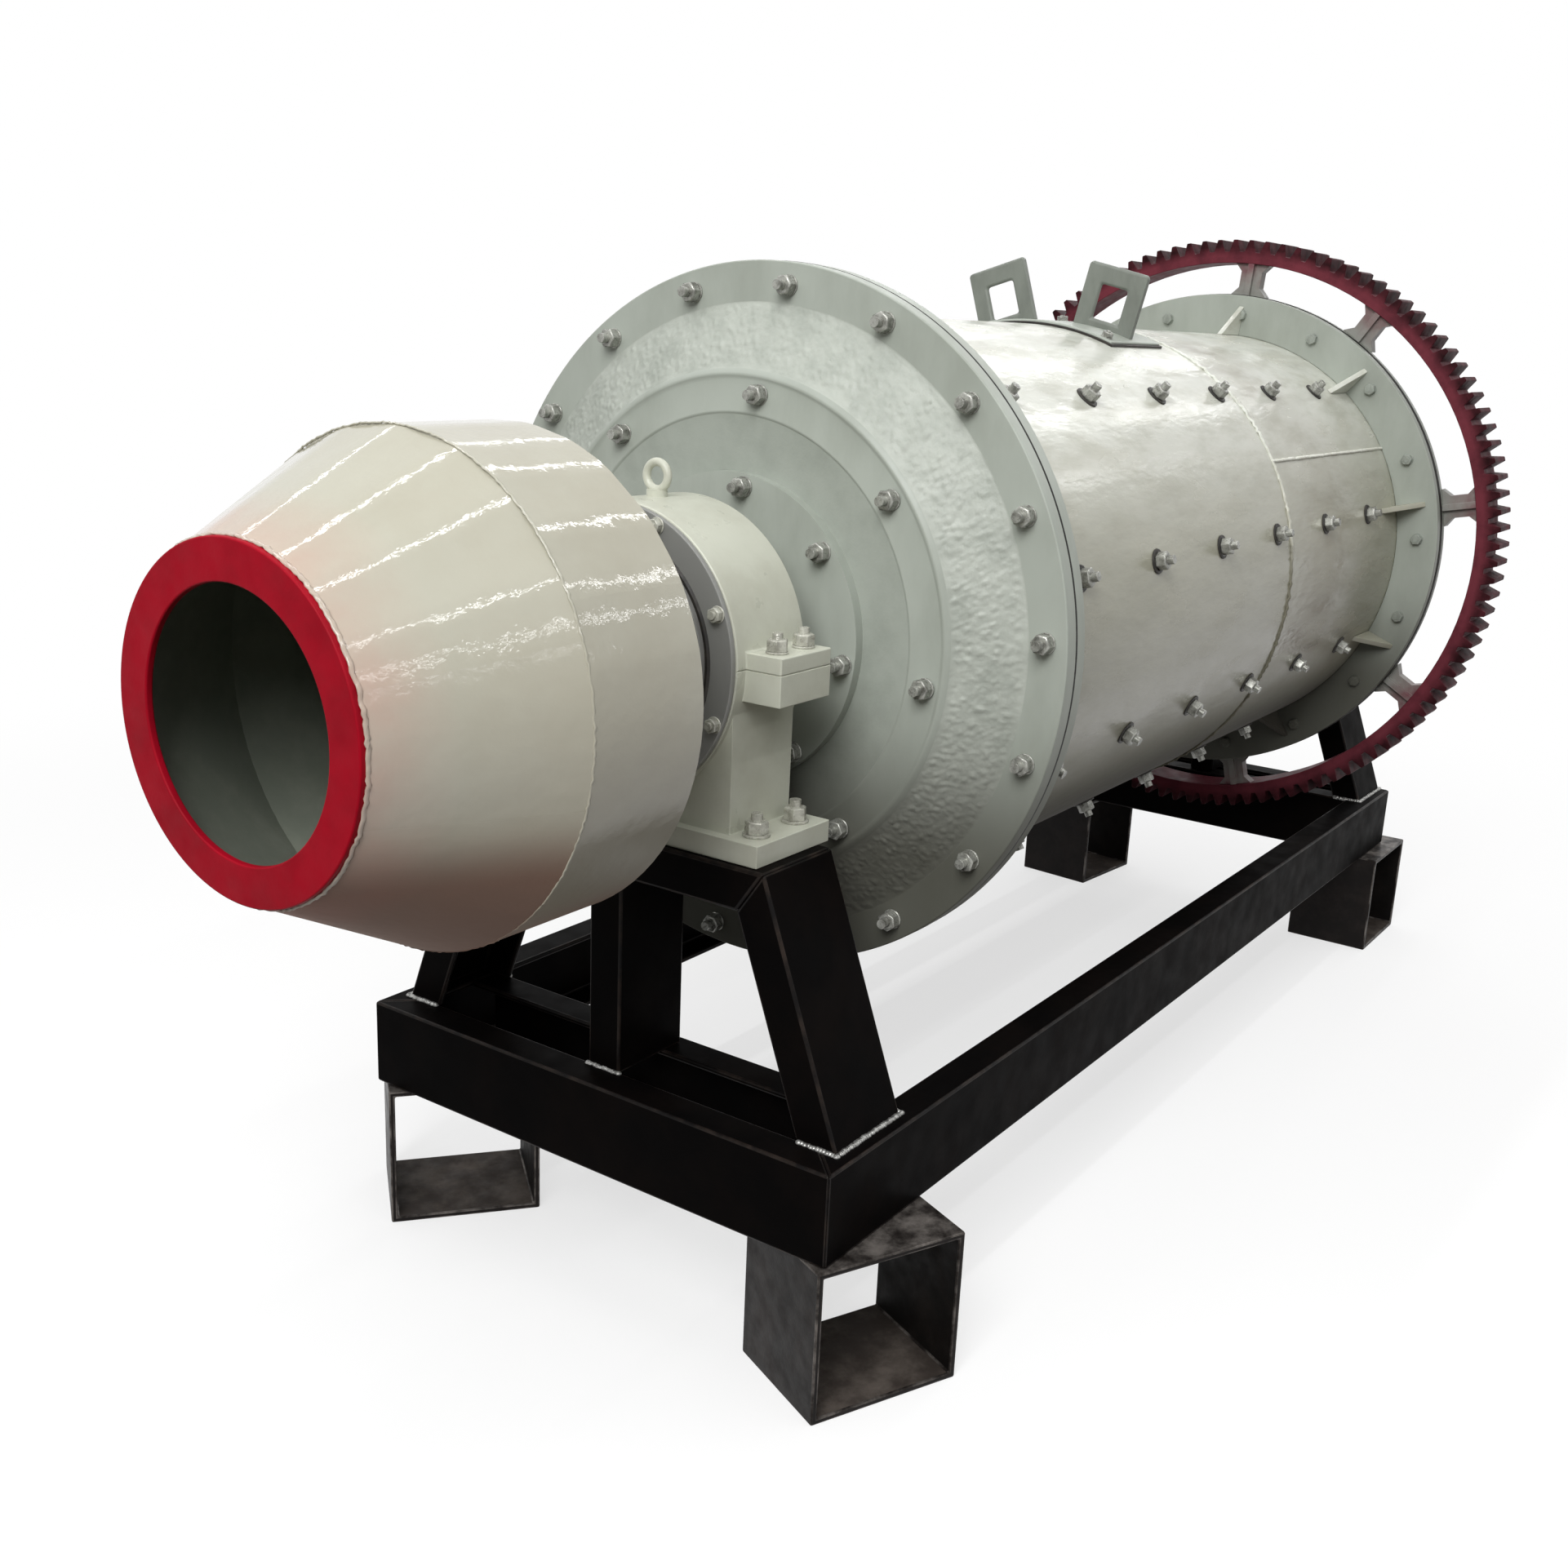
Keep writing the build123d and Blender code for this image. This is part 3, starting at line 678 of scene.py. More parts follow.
# The same enamel over the cover's rough sand-cast cone, which keeps the mould's wrinkles
CAST_ENAMEL = replace(SAGE_ENAMEL, name="sage_grey_enamel_on_sand_casting", colour="#b0b5ac", stain="#8d938a",
                      stain_size=70.0, roughness=0.5, peel_size=4.0, peel=0.5, wave_size=14.0, wave=0.5,
                      stretch=(1.0, 1.0, 1.0))
# The same enamel on the disc inside the cone, which keeps a finer grain of the sand
DISC_ENAMEL = replace(CAST_ENAMEL, name="sage_grey_enamel_on_disc", colour="#a4aaa1", peel=0.3, wave=0.2)
# The same enamel on the flame-cut handles, darker as painted shade
SHADED_HANDLE_ENAMEL = replace(SAGE_ENAMEL, name="sage_grey_enamel_on_handles", colour="#7d827a", stain="#656962",
                        stain_size=40.0)
# The same enamel brushed over the small bolt heads of the rear flange
HEAD_ENAMEL = replace(SAGE_ENAMEL, name="sage_grey_enamel_on_heads", colour="#9aa097", stain="#6c7069",
                      stain_size=15.0)
# The shell's enamel over its weld seams, paler as a painted highlight and paler still with dust and painted
# highlight on top, with painted shade hiding them lower down
SEAM_ENAMEL = replace(SHELL_ENAMEL, name="shell_enamel_on_seams", colour="#c9c8ba", stain="#a9a795",
                      dust_share=0.9, film="#6f6c5c", film_reach=(110.0, 10.0), film_share=0.9)
# Darker enamel on turned rings, duller and handled
DARK_ENAMEL = Finish("dark_grey_enamel", Slot.DARK, "#a3a195", "#87857b", 60.0, 0.6, 0.45, specular=0.25,
                     peel_size=4.0, peel=0.12)
# Satin black alkyd over hot-rolled channel: deep black, with faint brown dust in the film
BLACK_PAINT = Finish("satin_black_alkyd", Slot.BLACK, "#080707", "#15100e", 120.0, 0.5, 0.46, specular=0.012,
                     peel_size=5.0, peel=0.10, wave_size=70.0, wave=0.2)
# The same black rubbed thin along the edges, where brown steel shows in patches
WORN_BLACK = Finish("black_alkyd_rubbed_at_edges", Slot.BLACK, "#0b0909", "#312924", 45.0, 0.9, 0.42,
                    specular=0.1, peel_size=4.0, peel=0.15)
# Raw hot-rolled steel: blue-black scale with brown and pale rubbed patches
MILL_SCALE = Finish("hot_rolled_mill_scale", Slot.MILL_SCALE, "#151211", "#332d2b", 70.0, 0.6, 0.42,
                    roughness_spread=0.12, metallic=0.05, specular=0.12, peel_size=4.0, peel=0.15,
                    wave_size=50.0, wave=0.25)
# Scale inside the box section, darkened as painted shade
SHADED_SCALE_INSIDE = replace(MILL_SCALE, name="mill_scale_painted_shade_inside", colour="#0d0b0a", stain="#241f1c", metallic=0.0,
                      specular=0.08, roughness=0.6)
# Scale on the box section's inner floor, lighter as painted light where it faces up
LIT_SCALE_FLOOR = replace(MILL_SCALE, name="mill_scale_painted_light_floor", colour="#332d29", stain="#6b635c", metallic=0.0,
                      specular=0.15, roughness=0.7)
# Scale rubbed to bright steel along the saw-cut edges, also laid on the feet's upward outer faces as painted
# light on top
WORN_AND_LIT_SCALE = replace(MILL_SCALE, name="mill_scale_rubbed_at_edges", colour="#221e1c", stain="#857f7a",
                     stain_size=45.0, stain_share=0.8, metallic=0.4)
# Thick brushed red paint, matt
RED_PAINT = Finish("crimson_brushed_paint", Slot.RED, "#9c0a1f", "#820919", 70.0, 0.7, 0.5, specular=0.08,
                   peel_size=4.0, peel=0.2, wave_size=30.0, wave=0.25)
# Red oxide primer on the cast rim, dark with oil towards the teeth
GEAR_PAINT = Overspray("maroon_primer_on_gear", Slot.MAROON, "#74353f", "#4a232a", 60.0, 0.7, 0.5,
                       specular=0.05, peel_size=5.0, peel=0.2, wave_size=30.0, wave=0.2,
                       spray="#1a0c0d", spray_from=647.0, spray_to=668.0, spray_share=0.96, spray_break=0.4)
# Grey enamel on the spokes, with the rim's maroon sprayed over their outer ends
SPOKE_ENAMEL = Overspray("spoke_enamel_with_maroon", Slot.WARM, "#94958f", "#77766f", 70.0, 0.6, 0.4,
                         specular=0.35, peel_size=5.0, peel=0.2, wave_size=40.0, wave=0.25,
                         spray="#6e2c3b", spray_from=560.0, spray_to=635.0, spray_share=0.95, spray_break=0.8)
# Zinc-grey fasteners, painted over in places, so that the metal shows through
BOLT_STEEL = Finish("painted_zinc_fasteners", Slot.STEEL, "#a4a59e", "#4a4842", 13.0, 0.8, 0.30,
                    roughness_spread=0.12, metallic=0.4, peel_size=2.0, peel=0.2)
# The pillow blocks' fasteners, brushed over with the blocks' own pale enamel
PALE_BOLTS = replace(BOLT_STEEL, name="enamelled_fasteners", colour="#b4b4a9", stain="#77756b", metallic=0.15)
# Black rubber under the liner nuts, pressed out and oily
SEAL_RUBBER = Finish("oily_black_rubber", Slot.DARK, "#1c1a18", "#3a352e", 18.0, 0.6, 0.5, specular=0.3,
                     peel_size=2.0, peel=0.2)
# Turned journal steel, oiled
JOURNAL_STEEL = Finish("turned_journal_steel", Slot.STEEL, "#8c8b86", "#6d6a63", 50.0, 0.6, 0.38, 0.04,
                       metallic=1.0, peel_size=2.0, peel=0.02)
# Bare weld metal: bright silver ripples with heat-dark spots
WELD_METAL = Finish("bare_weld_metal", Slot.STEEL, "#a5a5a2", "#3b3937", 9.0, 0.8, 0.36, metallic=0.7,
                    peel_size=2.0, peel=0.2)
# Dark primer inside the feeder, dusty grey-green, darker than the outside also as painted shade in the hollow
INNER_PRIMER_AND_SHADE = Finish("dark_primer_inside", Slot.DARK, "#80867a", "#999c8f", 120.0, 0.6, 0.6, specular=0.15,
                      peel_size=5.0, peel=0.1)
# Black joint compound pressed out between two flanges
JOINT_BLACK = Finish("black_joint_compound", Slot.DARK, "#161513", "#2a2621", 30.0, 0.6, 0.6, specular=0.2,
                     peel_size=3.0, peel=0.2)


def finish_piece(
    piece: bpy.types.Object, name: str, body: Body, finish: Finish, stands_for: Sequence[str] = ()
) -> bpy.types.Object:
    """Name a piece, dress it and tie it to its body.

    Args:
        piece: the modelled piece, its place in its mesh.
        name: its name.
        body: the body it rides on.
        finish: its surface.
        stands_for: the CAD nodes that it replaces.

    Returns:
        The piece.
    """
    piece.name = name
    piece.data.name = name
    if not piece.data.materials:
        piece.data.materials.append(finish.material())
    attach(piece, body.value)
    if stands_for:
        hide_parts(*stands_for)
    LOG.info("%s: %d faces", name, len(piece.data.polygons))
    return piece


def paint(
    piece: bpy.types.Object, finishes: Sequence[Finish], choose: Callable[[bpy.types.MeshPolygon], int]
) -> None:
    """Give each face of a piece one of several finishes.

    Args:
        piece: the piece, with no finish yet.
        finishes: the finishes, in order.
        choose: the number of the finish that a face takes.
    """
    for finish in finishes:
        piece.data.materials.append(finish.material())
    for face in piece.data.polygons:
        face.material_index = int(choose(face))


# Small things that repeat


@dataclass
class HexBolt:
    """A stud with its washer and hexagon nut, standing along +Z from the face it clamps."""

    across_flats: float
    nut_height: float
    stud_radius: float
    stud_end: float
    washer_radius: float
    washer_height: float = 4.0
    threads: int = 4
    chamfer_share: float = 0.09
    crown_share: float = 0.12
    thread_root: float = 0.88
    washer_edge: float = 0.8
    nut_edge: float = 0.9
    stud_edge: float = 0.7

    def build(self) -> bpy.types.Object:
        """Model the bolt once, at the origin.

        Returns:
            The template.
        """
        washer = start("cylinder", vertices=20, radius=self.washer_radius * MM, depth=self.washer_height * MM,
                       location=(0, 0, self.washer_height / 2 * MM))
        settle(washer)
        round_edges(washer, self.washer_edge, 1)
        corner = self.across_flats / math.sqrt(3)
        top = self.washer_height + self.nut_height
        nut = start("cylinder", vertices=6, radius=corner * MM, depth=self.nut_height * MM,
                    location=(0, 0, (self.washer_height + self.nut_height / 2) * MM))
        settle(nut)
        unpick(nut)
        for face in nut.data.polygons:
            face.select = face.normal.z > 0.9
        with editing(nut, everything=False):
            bpy.ops.mesh.inset(thickness=self.across_flats * self.chamfer_share * MM,
                               depth=self.nut_height * self.crown_share * MM)
        round_edges(nut, self.nut_edge, 1)
        stud = start("cylinder", vertices=14, radius=self.stud_radius * MM, depth=self.stud_end * MM,
                     location=(0, 0, (top + self.stud_end / 2) * MM))
        settle(stud)
        pitch = self.stud_end / (self.threads + 1)
        with editing(stud):
            for k in range(1, 2 * self.threads + 2):
                bpy.ops.mesh.select_all(action="SELECT")
                bpy.ops.mesh.bisect(plane_co=(0, 0, (top + pitch * k / 2) * MM), plane_no=(0, 0, 1))
        for vertex in stud.data.vertices:
            turns = (vertex.co.z / MM - top) / pitch
            if self.threads and abs(turns - round(turns)) > 0.25 and turns > 0.1:
                vertex.co.xy *= self.thread_root
        round_edges(stud, self.stud_edge, 1, 60.0)
        bolt = join([washer, nut, stud])
        smooth(bolt, 40.0)
        return bolt


@dataclass
class WeldBead:
    """A run of weld: overlapping ripples along a line."""

    width: float = 10.0
    height: float = 4.5
    pitch: float = 5.0
    overlap: float = 2.2
    wander: float = 0.8
    uneven: float = 0.15

    def build(self, runs: Sequence[tuple[Vector, Vector]], draw: random.Random) -> bpy.types.Object:
        """Lay the ripples along straight runs.

        Args:
            runs: the start and end of each run, in millimetres.
            draw: the seeded source of the bead's unevenness.

        Returns:
            The joined bead.
        """
        ripple = start("uv_sphere", segments=8, ring_count=6, radius=0.5)
        with editing(ripple):
            bpy.ops.transform.resize(
                value=(self.pitch * self.overlap * MM, self.width * MM, self.height * 2 * MM))
        smooth(ripple, 60.0)
        places = []
        for begin, end in runs:
            along = end - begin
            count = max(2, round(along.length / self.pitch))
            for k in range(count + 1):
                spot = begin + along * (k / count)
                sway = (self.wander, self.wander, self.wander / 2)
                spot += Vector([draw.uniform(-reach, reach) for reach in sway])
                size = Matrix.Scale(draw.uniform(1 - self.uneven, 1 + self.uneven), 4)
                heading = along.to_track_quat("X", "Z").to_matrix().to_4x4()
                places.append(Matrix.Translation(spot * MM) @ heading @ size)
        return repeat(ripple, places)


# A ring bead's height, and its lumps' sway along X and swell, as shares of its half width
BEAD_HEIGHT = 0.65
BEAD_SWAY = 0.3
BEAD_SWELL = (-0.05, 0.35)
# Steps round the drum's wide rings
RING_STEPS = 160
# How deep the joint compound reaches between two rings, and how far its corners are rounded off
JOINT_DEPTH = 6.0
JOINT_ROUND = 0.6


def ring_bead(station: float, radius: float, size: float, pitch: float, seed: int) -> bpy.types.Object:
    """A lumpy weld bead round the mill axis.

    Args:
        station: its place along X, in millimetres.
        radius: the radius of the plate that it lies on.
        size: its half width; it stands a little over half as high.
        pitch: the length of a lump.
        seed: the start of its random unevenness.

    Returns:
        The bead.
    """
    steps = 2 * round(math.pi * radius / pitch)
    corners = [math.tau * k / 8 for k in range(8)]
    bead = turned([
        (station + size * math.cos(angle), radius + size * BEAD_HEIGHT * math.sin(angle))
        for angle in corners
    ], steps)
    draw = random.Random(seed)
    lumps = [
        (draw.uniform(-BEAD_SWAY, BEAD_SWAY), draw.uniform(*BEAD_SWELL) * (1 + k % 2)) for k in range(steps)
    ]
    for vertex in bead.data.vertices:
        turn = math.atan2(vertex.co.z - AXIS_HEIGHT * MM, vertex.co.y)
        sway, swell = lumps[round(turn / math.tau * steps) % steps]
        vertex.co.x += sway * size * MM
        vertex.co.y += swell * size * math.cos(turn) * MM
        vertex.co.z += swell * size * math.sin(turn) * MM
    smooth(bead, 70.0)
    return bead


def joint_line(station: float, edge: float, width: float) -> bpy.types.Object:
    """A line of joint compound pressed out between two rings about the mill axis.

    Args:
        station: where the two meet along X, in millimetres.
        edge: the line's outer radius.
        width: its width along X.

    Returns:
        The line.
    """
    first, last = station - width / 2, station + width / 2
    root, shoulder = edge - JOINT_DEPTH, edge - JOINT_ROUND
    outline = [(first, root), (first, shoulder), (station, edge), (last, shoulder), (last, root)]
    line = turned(outline, RING_STEPS)
    smooth(line, 60.0)
    return line


@dataclass
class SealWasher:
    """A rubber washer squeezed out under a nut, along +Z from the face it seals."""

    radius: float
    height: float
    edge_share: float = 0.45

    def build(self) -> bpy.types.Object:
        """Model the washer once, at the origin.

        Returns:
            The template.
        """
        disc = start("cylinder", vertices=18, radius=self.radius * MM, depth=self.height * MM,
                     location=(0, 0, self.height / 2 * MM))
        settle(disc)
        round_edges(disc, self.height * self.edge_share, 2, 60.0)
        smooth(disc, 50.0)
        return disc


# Nuts on studs of the covers and flanges, the heads behind them, and those painted over at the rear
COVER_NUT = HexBolt(27.0, 15.0, 8.0, 15.0, 15.5, 3.0)
FLANGE_HEAD = replace(COVER_NUT, stud_end=3.0, threads=0)
PAINTED_HEAD = HexBolt(22.0, 11.0, 7.0, 2.0, 13.0, 2.0, 0)
# Nuts of the liners, with the seals under them, and of the manhole's lid
LINER_NUT = HexBolt(27.0, 15.0, 8.0, 12.0, 17.0, 4.0)
LINER_SEAL = SealWasher(21.0, 4.0)
LID_NUT = HexBolt(19.0, 8.0, 5.0, 3.0, 12.0, 2.0, 1)
# Nuts of the pillow blocks: on their cover rings, lugs and base plates
RING_NUT = HexBolt(19.0, 9.0, 6.0, 4.0, 12.0, 2.0, 1)
LUG_NUT = HexBolt(27.0, 15.0, 8.0, 10.0, 16.0, 3.0)
BASE_NUT = HexBolt(30.0, 17.0, 9.0, 12.0, 20.0)


# Sub-assemblies


@dataclass
class Stand:
    """The black welded stand: base frame, two trestles and the raw box-section feet."""

    edge: float = 4.0
    fold: float = 6.0
    foot_edge: float = 3.0
    weld_inset: float = 1.5
    leg_weld: float = 62.0
    weld_seed: int = 11

    def build(self) -> None:
        """Round and dress the beams, legs, posts and feet, and lay the bare welds."""
        beams = ["side_beam_left", "side_beam_right"]
        folded = []
        for end in End:
            beams += [f"{end.word}_{part}" for part in ("cross_beam", "inner_beam")]
            folded += [f"{end.word}_{part}" for part in ("leg_left", "leg_right", "post", "bearing_beam")]
        for nodes, edge in ((beams, self.edge), (folded, self.fold)):
            for node in nodes:
                piece = from_node(node, edge, 3, (BLACK_PAINT, WORN_BLACK))
                finish_piece(piece, f"{node}_painted", Body.STAND, BLACK_PAINT, [node])
        for corner in ("front_left", "front_right", "rear_left", "rear_right"):
            self.foot(f"foot_{corner}")
        self.weld()

    def foot(self, node: str) -> None:
        """Dress a foot: scaled outside, rubbed bright along its cut edges, with painted shade inside, and
        painted light on its inner floor and on top.

        Args:
            node: the CAD node's name.
        """
        piece = from_node(node, self.foot_edge, 2, (MILL_SCALE, WORN_AND_LIT_SCALE))
        piece.data.materials.append(SHADED_SCALE_INSIDE.material())
        piece.data.materials.append(LIT_SCALE_FLOOR.material())
        low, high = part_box(node)
        middle = (low + high) / 2
        for face in piece.data.polygons:
            inside = face.normal.dot(face.center - middle) < 0
            upward = face.normal.z > 0.9
            # Inner faces take painted shade, inner floors painted light, and outer tops the rubbed scale as
            # painted light
            if face.material_index == 0 and inside:
                face.material_index = 3 if upward else 2
            elif face.material_index == 0 and upward:
                face.material_index = 1
        finish_piece(piece, f"{node}_scaled", Body.STAND, MILL_SCALE, [node])

    def weld(self) -> None:
        """Lay bare beads round the outer sides of the legs' and posts' feet."""
        runs = []
        for end in End:
            for hand, side in (("left", 1), ("right", -1)):
                low, high = span_mm(f"{end.word}_leg_{hand}")
                outer = high.y if side > 0 else low.y
                outer += side * self.weld_inset
                inner = outer - side * self.leg_weld
                x0, x1 = low.x - self.weld_inset, high.x + self.weld_inset
                runs += [(Vector((x0, outer, low.z)), Vector((x1, outer, low.z))),
                         (Vector((x0, outer, low.z)), Vector((x0, inner, low.z))),
                         (Vector((x1, outer, low.z)), Vector((x1, inner, low.z)))]
            low, high = span_mm(f"{end.word}_post")
            x = low.x if end is End.FRONT else high.x
            runs.append((Vector((x, low.y, low.z)), Vector((x, high.y, low.z))))
        bead = WeldBead().build(runs, random.Random(self.weld_seed))
        finish_piece(bead, "foot_welds", Body.STAND, WELD_METAL)


@dataclass
class PillowBlock:
    """A split pillow block with its cover ring, lifting eye and bolts."""

    end: End
    edge: float = 2.5
    ring_width: float = 85.0
    collar: float = 42.0
    collar_height: float = 12.0
    cover_edge: float = 2.0
    seal_width: float = 8.0
    seal_height: float = 3.0
    seal_bed: float = 1.0
    lug_rise: float = 24.0
    plate_thickness: float = 32.0
    plate_half: float = 260.0
    ring_bolts: int = 8
    ring_bolt_inset: float = 11.0
    ring_phase: float = 22.5
    lug_pitch: float = 62.0
    lug_inset: float = 28.0
    plate_pitch: float = 92.0
    plate_inset: float = 32.0
    ring_steps: int = 96
    bolt_seed: int = 21

    def build(self) -> None:
        """Model the block's pieces and set its bolts."""
        word = self.end.word
        for part in ("base", "cap"):
            node = f"{word}_bearing_{part}"
            finish_piece(from_node(node, self.edge, 3), f"{node}_enamelled", Body.STAND, WARM_ENAMEL, [node])
        node = f"{word}_lifting_eye"
        finish_piece(from_node(node), f"{node}_enamelled", Body.STAND, WARM_ENAMEL, [node])
        self.cover()
        self.bolts()

    def cover(self) -> None:
        """Turn the cover ring with its collar."""
        node = f"{self.end.word}_bearing_cover"
        low, high = span_mm(node)
        edge = radius_mm(node)
        face, outer = (high.x, low.x) if self.end is End.FRONT else (low.x, high.x)
        plate = outer - self.end.value * self.collar_height
        hole = edge - self.ring_width
        rim = hole + self.collar
        outline = [(face, hole), (outer, hole), (outer, rim), (plate, rim), (plate, edge), (face, edge)]
        ring = turned(outline, self.ring_steps)
        round_edges(ring, self.cover_edge, 2)
        smooth(ring)
        finish_piece(ring, f"{node}_enamelled", Body.STAND, DARK_ENAMEL, [node])
        crest = plate + self.end.value * self.seal_height
        root = plate - self.end.value * self.seal_bed
        foot = rim - self.seal_bed
        seal = turned([(root, foot), (crest, foot), (crest, rim + self.seal_width / 2),
                       (root, rim + self.seal_width)], self.ring_steps)
        smooth(seal)
        finish_piece(seal, f"{self.end.word}_collar_seal", Body.STAND, SEAL_RUBBER)

    def four(self, pitch: float, reach: float, top: float, draw: random.Random) -> list[Matrix]:
        """Places of two bolts on each side of the block.

        Args:
            pitch: the distance between the two, in millimetres.
            reach: how far to the side of the mill axis they stand.
            top: the height that they stand on.
            draw: the seeded source of their turns.

        Returns:
            The bolts' matrices.
        """
        low, high = span_mm(f"{self.end.word}_bearing_cap")
        middle = (low.x + high.x) / 2
        up = Vector((0, 0, 1))
        return [
            upright(Vector((middle + along * pitch / 2, side * reach, top)), up, draw.uniform(0, HEX_TURN))
            for side in (1, -1) for along in (1, -1)
        ]

    def bolts(self) -> None:
        """Set the bolts of the cover ring, the lugs and the base plate."""
        draw = random.Random(self.bolt_seed + self.end.value)
        word, way = self.end.word, self.end.value
        low, high = span_mm(f"{word}_bearing_cover")
        plate = (low.x if self.end is End.FRONT else high.x) - way * self.collar_height
        radius = radius_mm(f"{word}_bearing_cover") - self.ring_bolt_inset
        lugs = span_mm(f"{word}_bearing_cap")[1].y - self.lug_inset
        top = span_mm(f"{word}_bearing_base")[0].z + self.plate_thickness
        for name, bolt, places in (
            ("cover_ring", RING_NUT, bolt_ring(plate, radius, self.ring_bolts, self.ring_phase, way, draw)),
            ("cap", LUG_NUT, self.four(self.lug_pitch, lugs, AXIS_HEIGHT + self.lug_rise, draw)),
            ("base", BASE_NUT, self.four(self.plate_pitch, self.plate_half - self.plate_inset, top, draw)),
        ):
            finish_piece(repeat(bolt.build(), places), f"{word}_{name}_bolts", Body.STAND, PALE_BOLTS)


@dataclass
class EndCover:
    """A cast end cover with its rough cone, its bolts and the trunnion bolted to it."""

    end: End
    flange_thickness: float = 28.0
    flange_band: float = 59.0
    ridge_radius: float = 385.0
    ridge_rise: float = 49.0
    step_radius: float = 319.0
    step_rise: float = 57.0
    step_depth: float = 3.0
    lip: float = 5.5
    joint_proud: float = 0.5
    joint_width: float = 6.5
    seat_radius: float = 236.0
    seat_rise: float = 45.0
    wall: float = 34.0
    bore: float = 110.0
    spigot_radius: float = 457.8
    spigot_wall: float = 17.0
    spigot_depth: float = 20.0
    rough_rows: int = 34
    rough_steps: int = 900
    rough_size: float = 8.5
    rough_depth: float = 5.2
    disc_bolts: int = 8
    disc_bolt_radius: float = 351.0
    flange_bolt_radius: float = 217.0
    bolt_phase: float = 38.5
    disc_sink: float = 4.0
    trunnion_flange: float = 18.0
    edge: float = 2.5
    ridge_foot: float = 1.0
    least_rise: float = 0.5
    rough_start: float = 0.02
    rough_growth: float = 6.0
    bolt_seed: int = 31

    def face(self) -> float:
        """The station of the flange's outer face."""
        low, high = span_mm(f"{self.end.word}_end_cover")
        return low.x + self.step_rise if self.end is End.FRONT else high.x - self.step_rise

    def build(self) -> None:
        """Turn the cover, roughen its cone and bolt the trunnion on."""
        node = f"{self.end.word}_end_cover"
        flange = radius_mm(node)
        cone = flange - self.flange_band
        inside = -self.flange_thickness
        back = self.ridge_rise - self.wall
        slope = [
            (self.ridge_rise * k / self.rough_rows, cone + (self.ridge_radius - cone) * k / self.rough_rows)
            for k in range(self.rough_rows + 1)
        ]
        spigot_inner = self.spigot_radius - self.spigot_wall
        profile = [
            (inside, flange), (0, flange), *slope,
            (self.ridge_rise + self.lip, self.ridge_radius - self.lip),
            (self.ridge_rise + self.lip, self.ridge_radius - 2 * self.lip),
            (self.ridge_rise + self.ridge_foot, self.ridge_radius - 3 * self.lip),
            (self.step_rise, self.step_radius + self.step_depth),
            (self.step_rise - self.step_depth, self.step_radius),
            (self.seat_rise, self.seat_radius),
            (self.seat_rise, self.bore), (back, self.bore), (back, self.ridge_radius), (inside, spigot_inner),
            (inside - self.spigot_depth, spigot_inner), (inside - self.spigot_depth, self.spigot_radius),
            (inside, self.spigot_radius),
        ]
        face = self.face()
        cover = turned([(face + self.end.value * rise, radius) for rise, radius in profile], self.rough_steps)
        round_edges(cover, self.edge, 2, 50.0)
        self.roughen(cover, cone)
        smooth(cover, 60.0)
        finish_piece(cover, f"{node}_cast", Body.DRUM, SAGE_ENAMEL, [node])
        seat = face - self.end.value * self.flange_thickness
        line = joint_line(seat, flange + self.joint_proud, self.joint_width)
        finish_piece(line, f"{self.end.word}_flange_joint", Body.DRUM, JOINT_BLACK)
        self.bolts()

    def roughen(self, cover: bpy.types.Object, cone: float) -> None:
        """Raise the sand-cast roughness between the flange and the ridge.

        Args:
            cover: the turned cover.
            cone: the radius where the cone meets the flange's face.
        """
        band = cover.vertex_groups.new(name="rough")
        middle, half = (cone + self.ridge_radius) / 2, (cone - self.ridge_radius) / 2
        face = self.face()

        def depth_in(point: Vector) -> float:
            """How far inside the band a point of the outer face lies, 0 to 1."""
            rise = (point.x / MM - face) * self.end.value
            if rise <= self.least_rise:
                return 0.0
            return max(0.0, 1.0 - abs(from_axis(point) - middle) / half)

        def layer(part: bpy.types.MeshPolygon) -> int:
            """Which of the cover's finishes a face takes."""
            if depth_in(part.center) > 0.0:
                return 1
            return 2 if self.seat_radius < from_axis(part.center) < self.step_radius else 0

        for vertex in cover.data.vertices:
            inside = depth_in(vertex.co)
            if inside > self.rough_start:
                band.add([vertex.index], min(1.0, inside * self.rough_growth), "REPLACE")
        paint(cover, (SAGE_ENAMEL, CAST_ENAMEL, DISC_ENAMEL), layer)
        wrinkles = bpy.data.textures.new(f"{self.end.word}_mould", "CLOUDS")
        wrinkles.noise_type = "HARD_NOISE"
        wrinkles.noise_scale = self.rough_size * MM
        wrinkles.noise_depth = 3
        modify(cover, "DISPLACE", texture=wrinkles, texture_coords="LOCAL", strength=self.rough_depth * MM,
               mid_level=0.5, vertex_group="rough")

    def bolts(self) -> None:
        """Set the two rings of bolts inside the flange."""
        draw = random.Random(self.bolt_seed + self.end.value)
        way = self.end.value
        for name, radius, rise in (
            ("disc", self.disc_bolt_radius, self.step_rise - self.disc_sink),
            ("trunnion", self.flange_bolt_radius, self.seat_rise + self.trunnion_flange),
        ):
            station = self.face() + way * rise
            places = bolt_ring(station, radius, self.disc_bolts, self.bolt_phase, way, draw)
            bolts = repeat(COVER_NUT.build(), places)
            finish_piece(bolts, f"{self.end.word}_{name}_bolts", Body.DRUM, BOLT_STEEL)


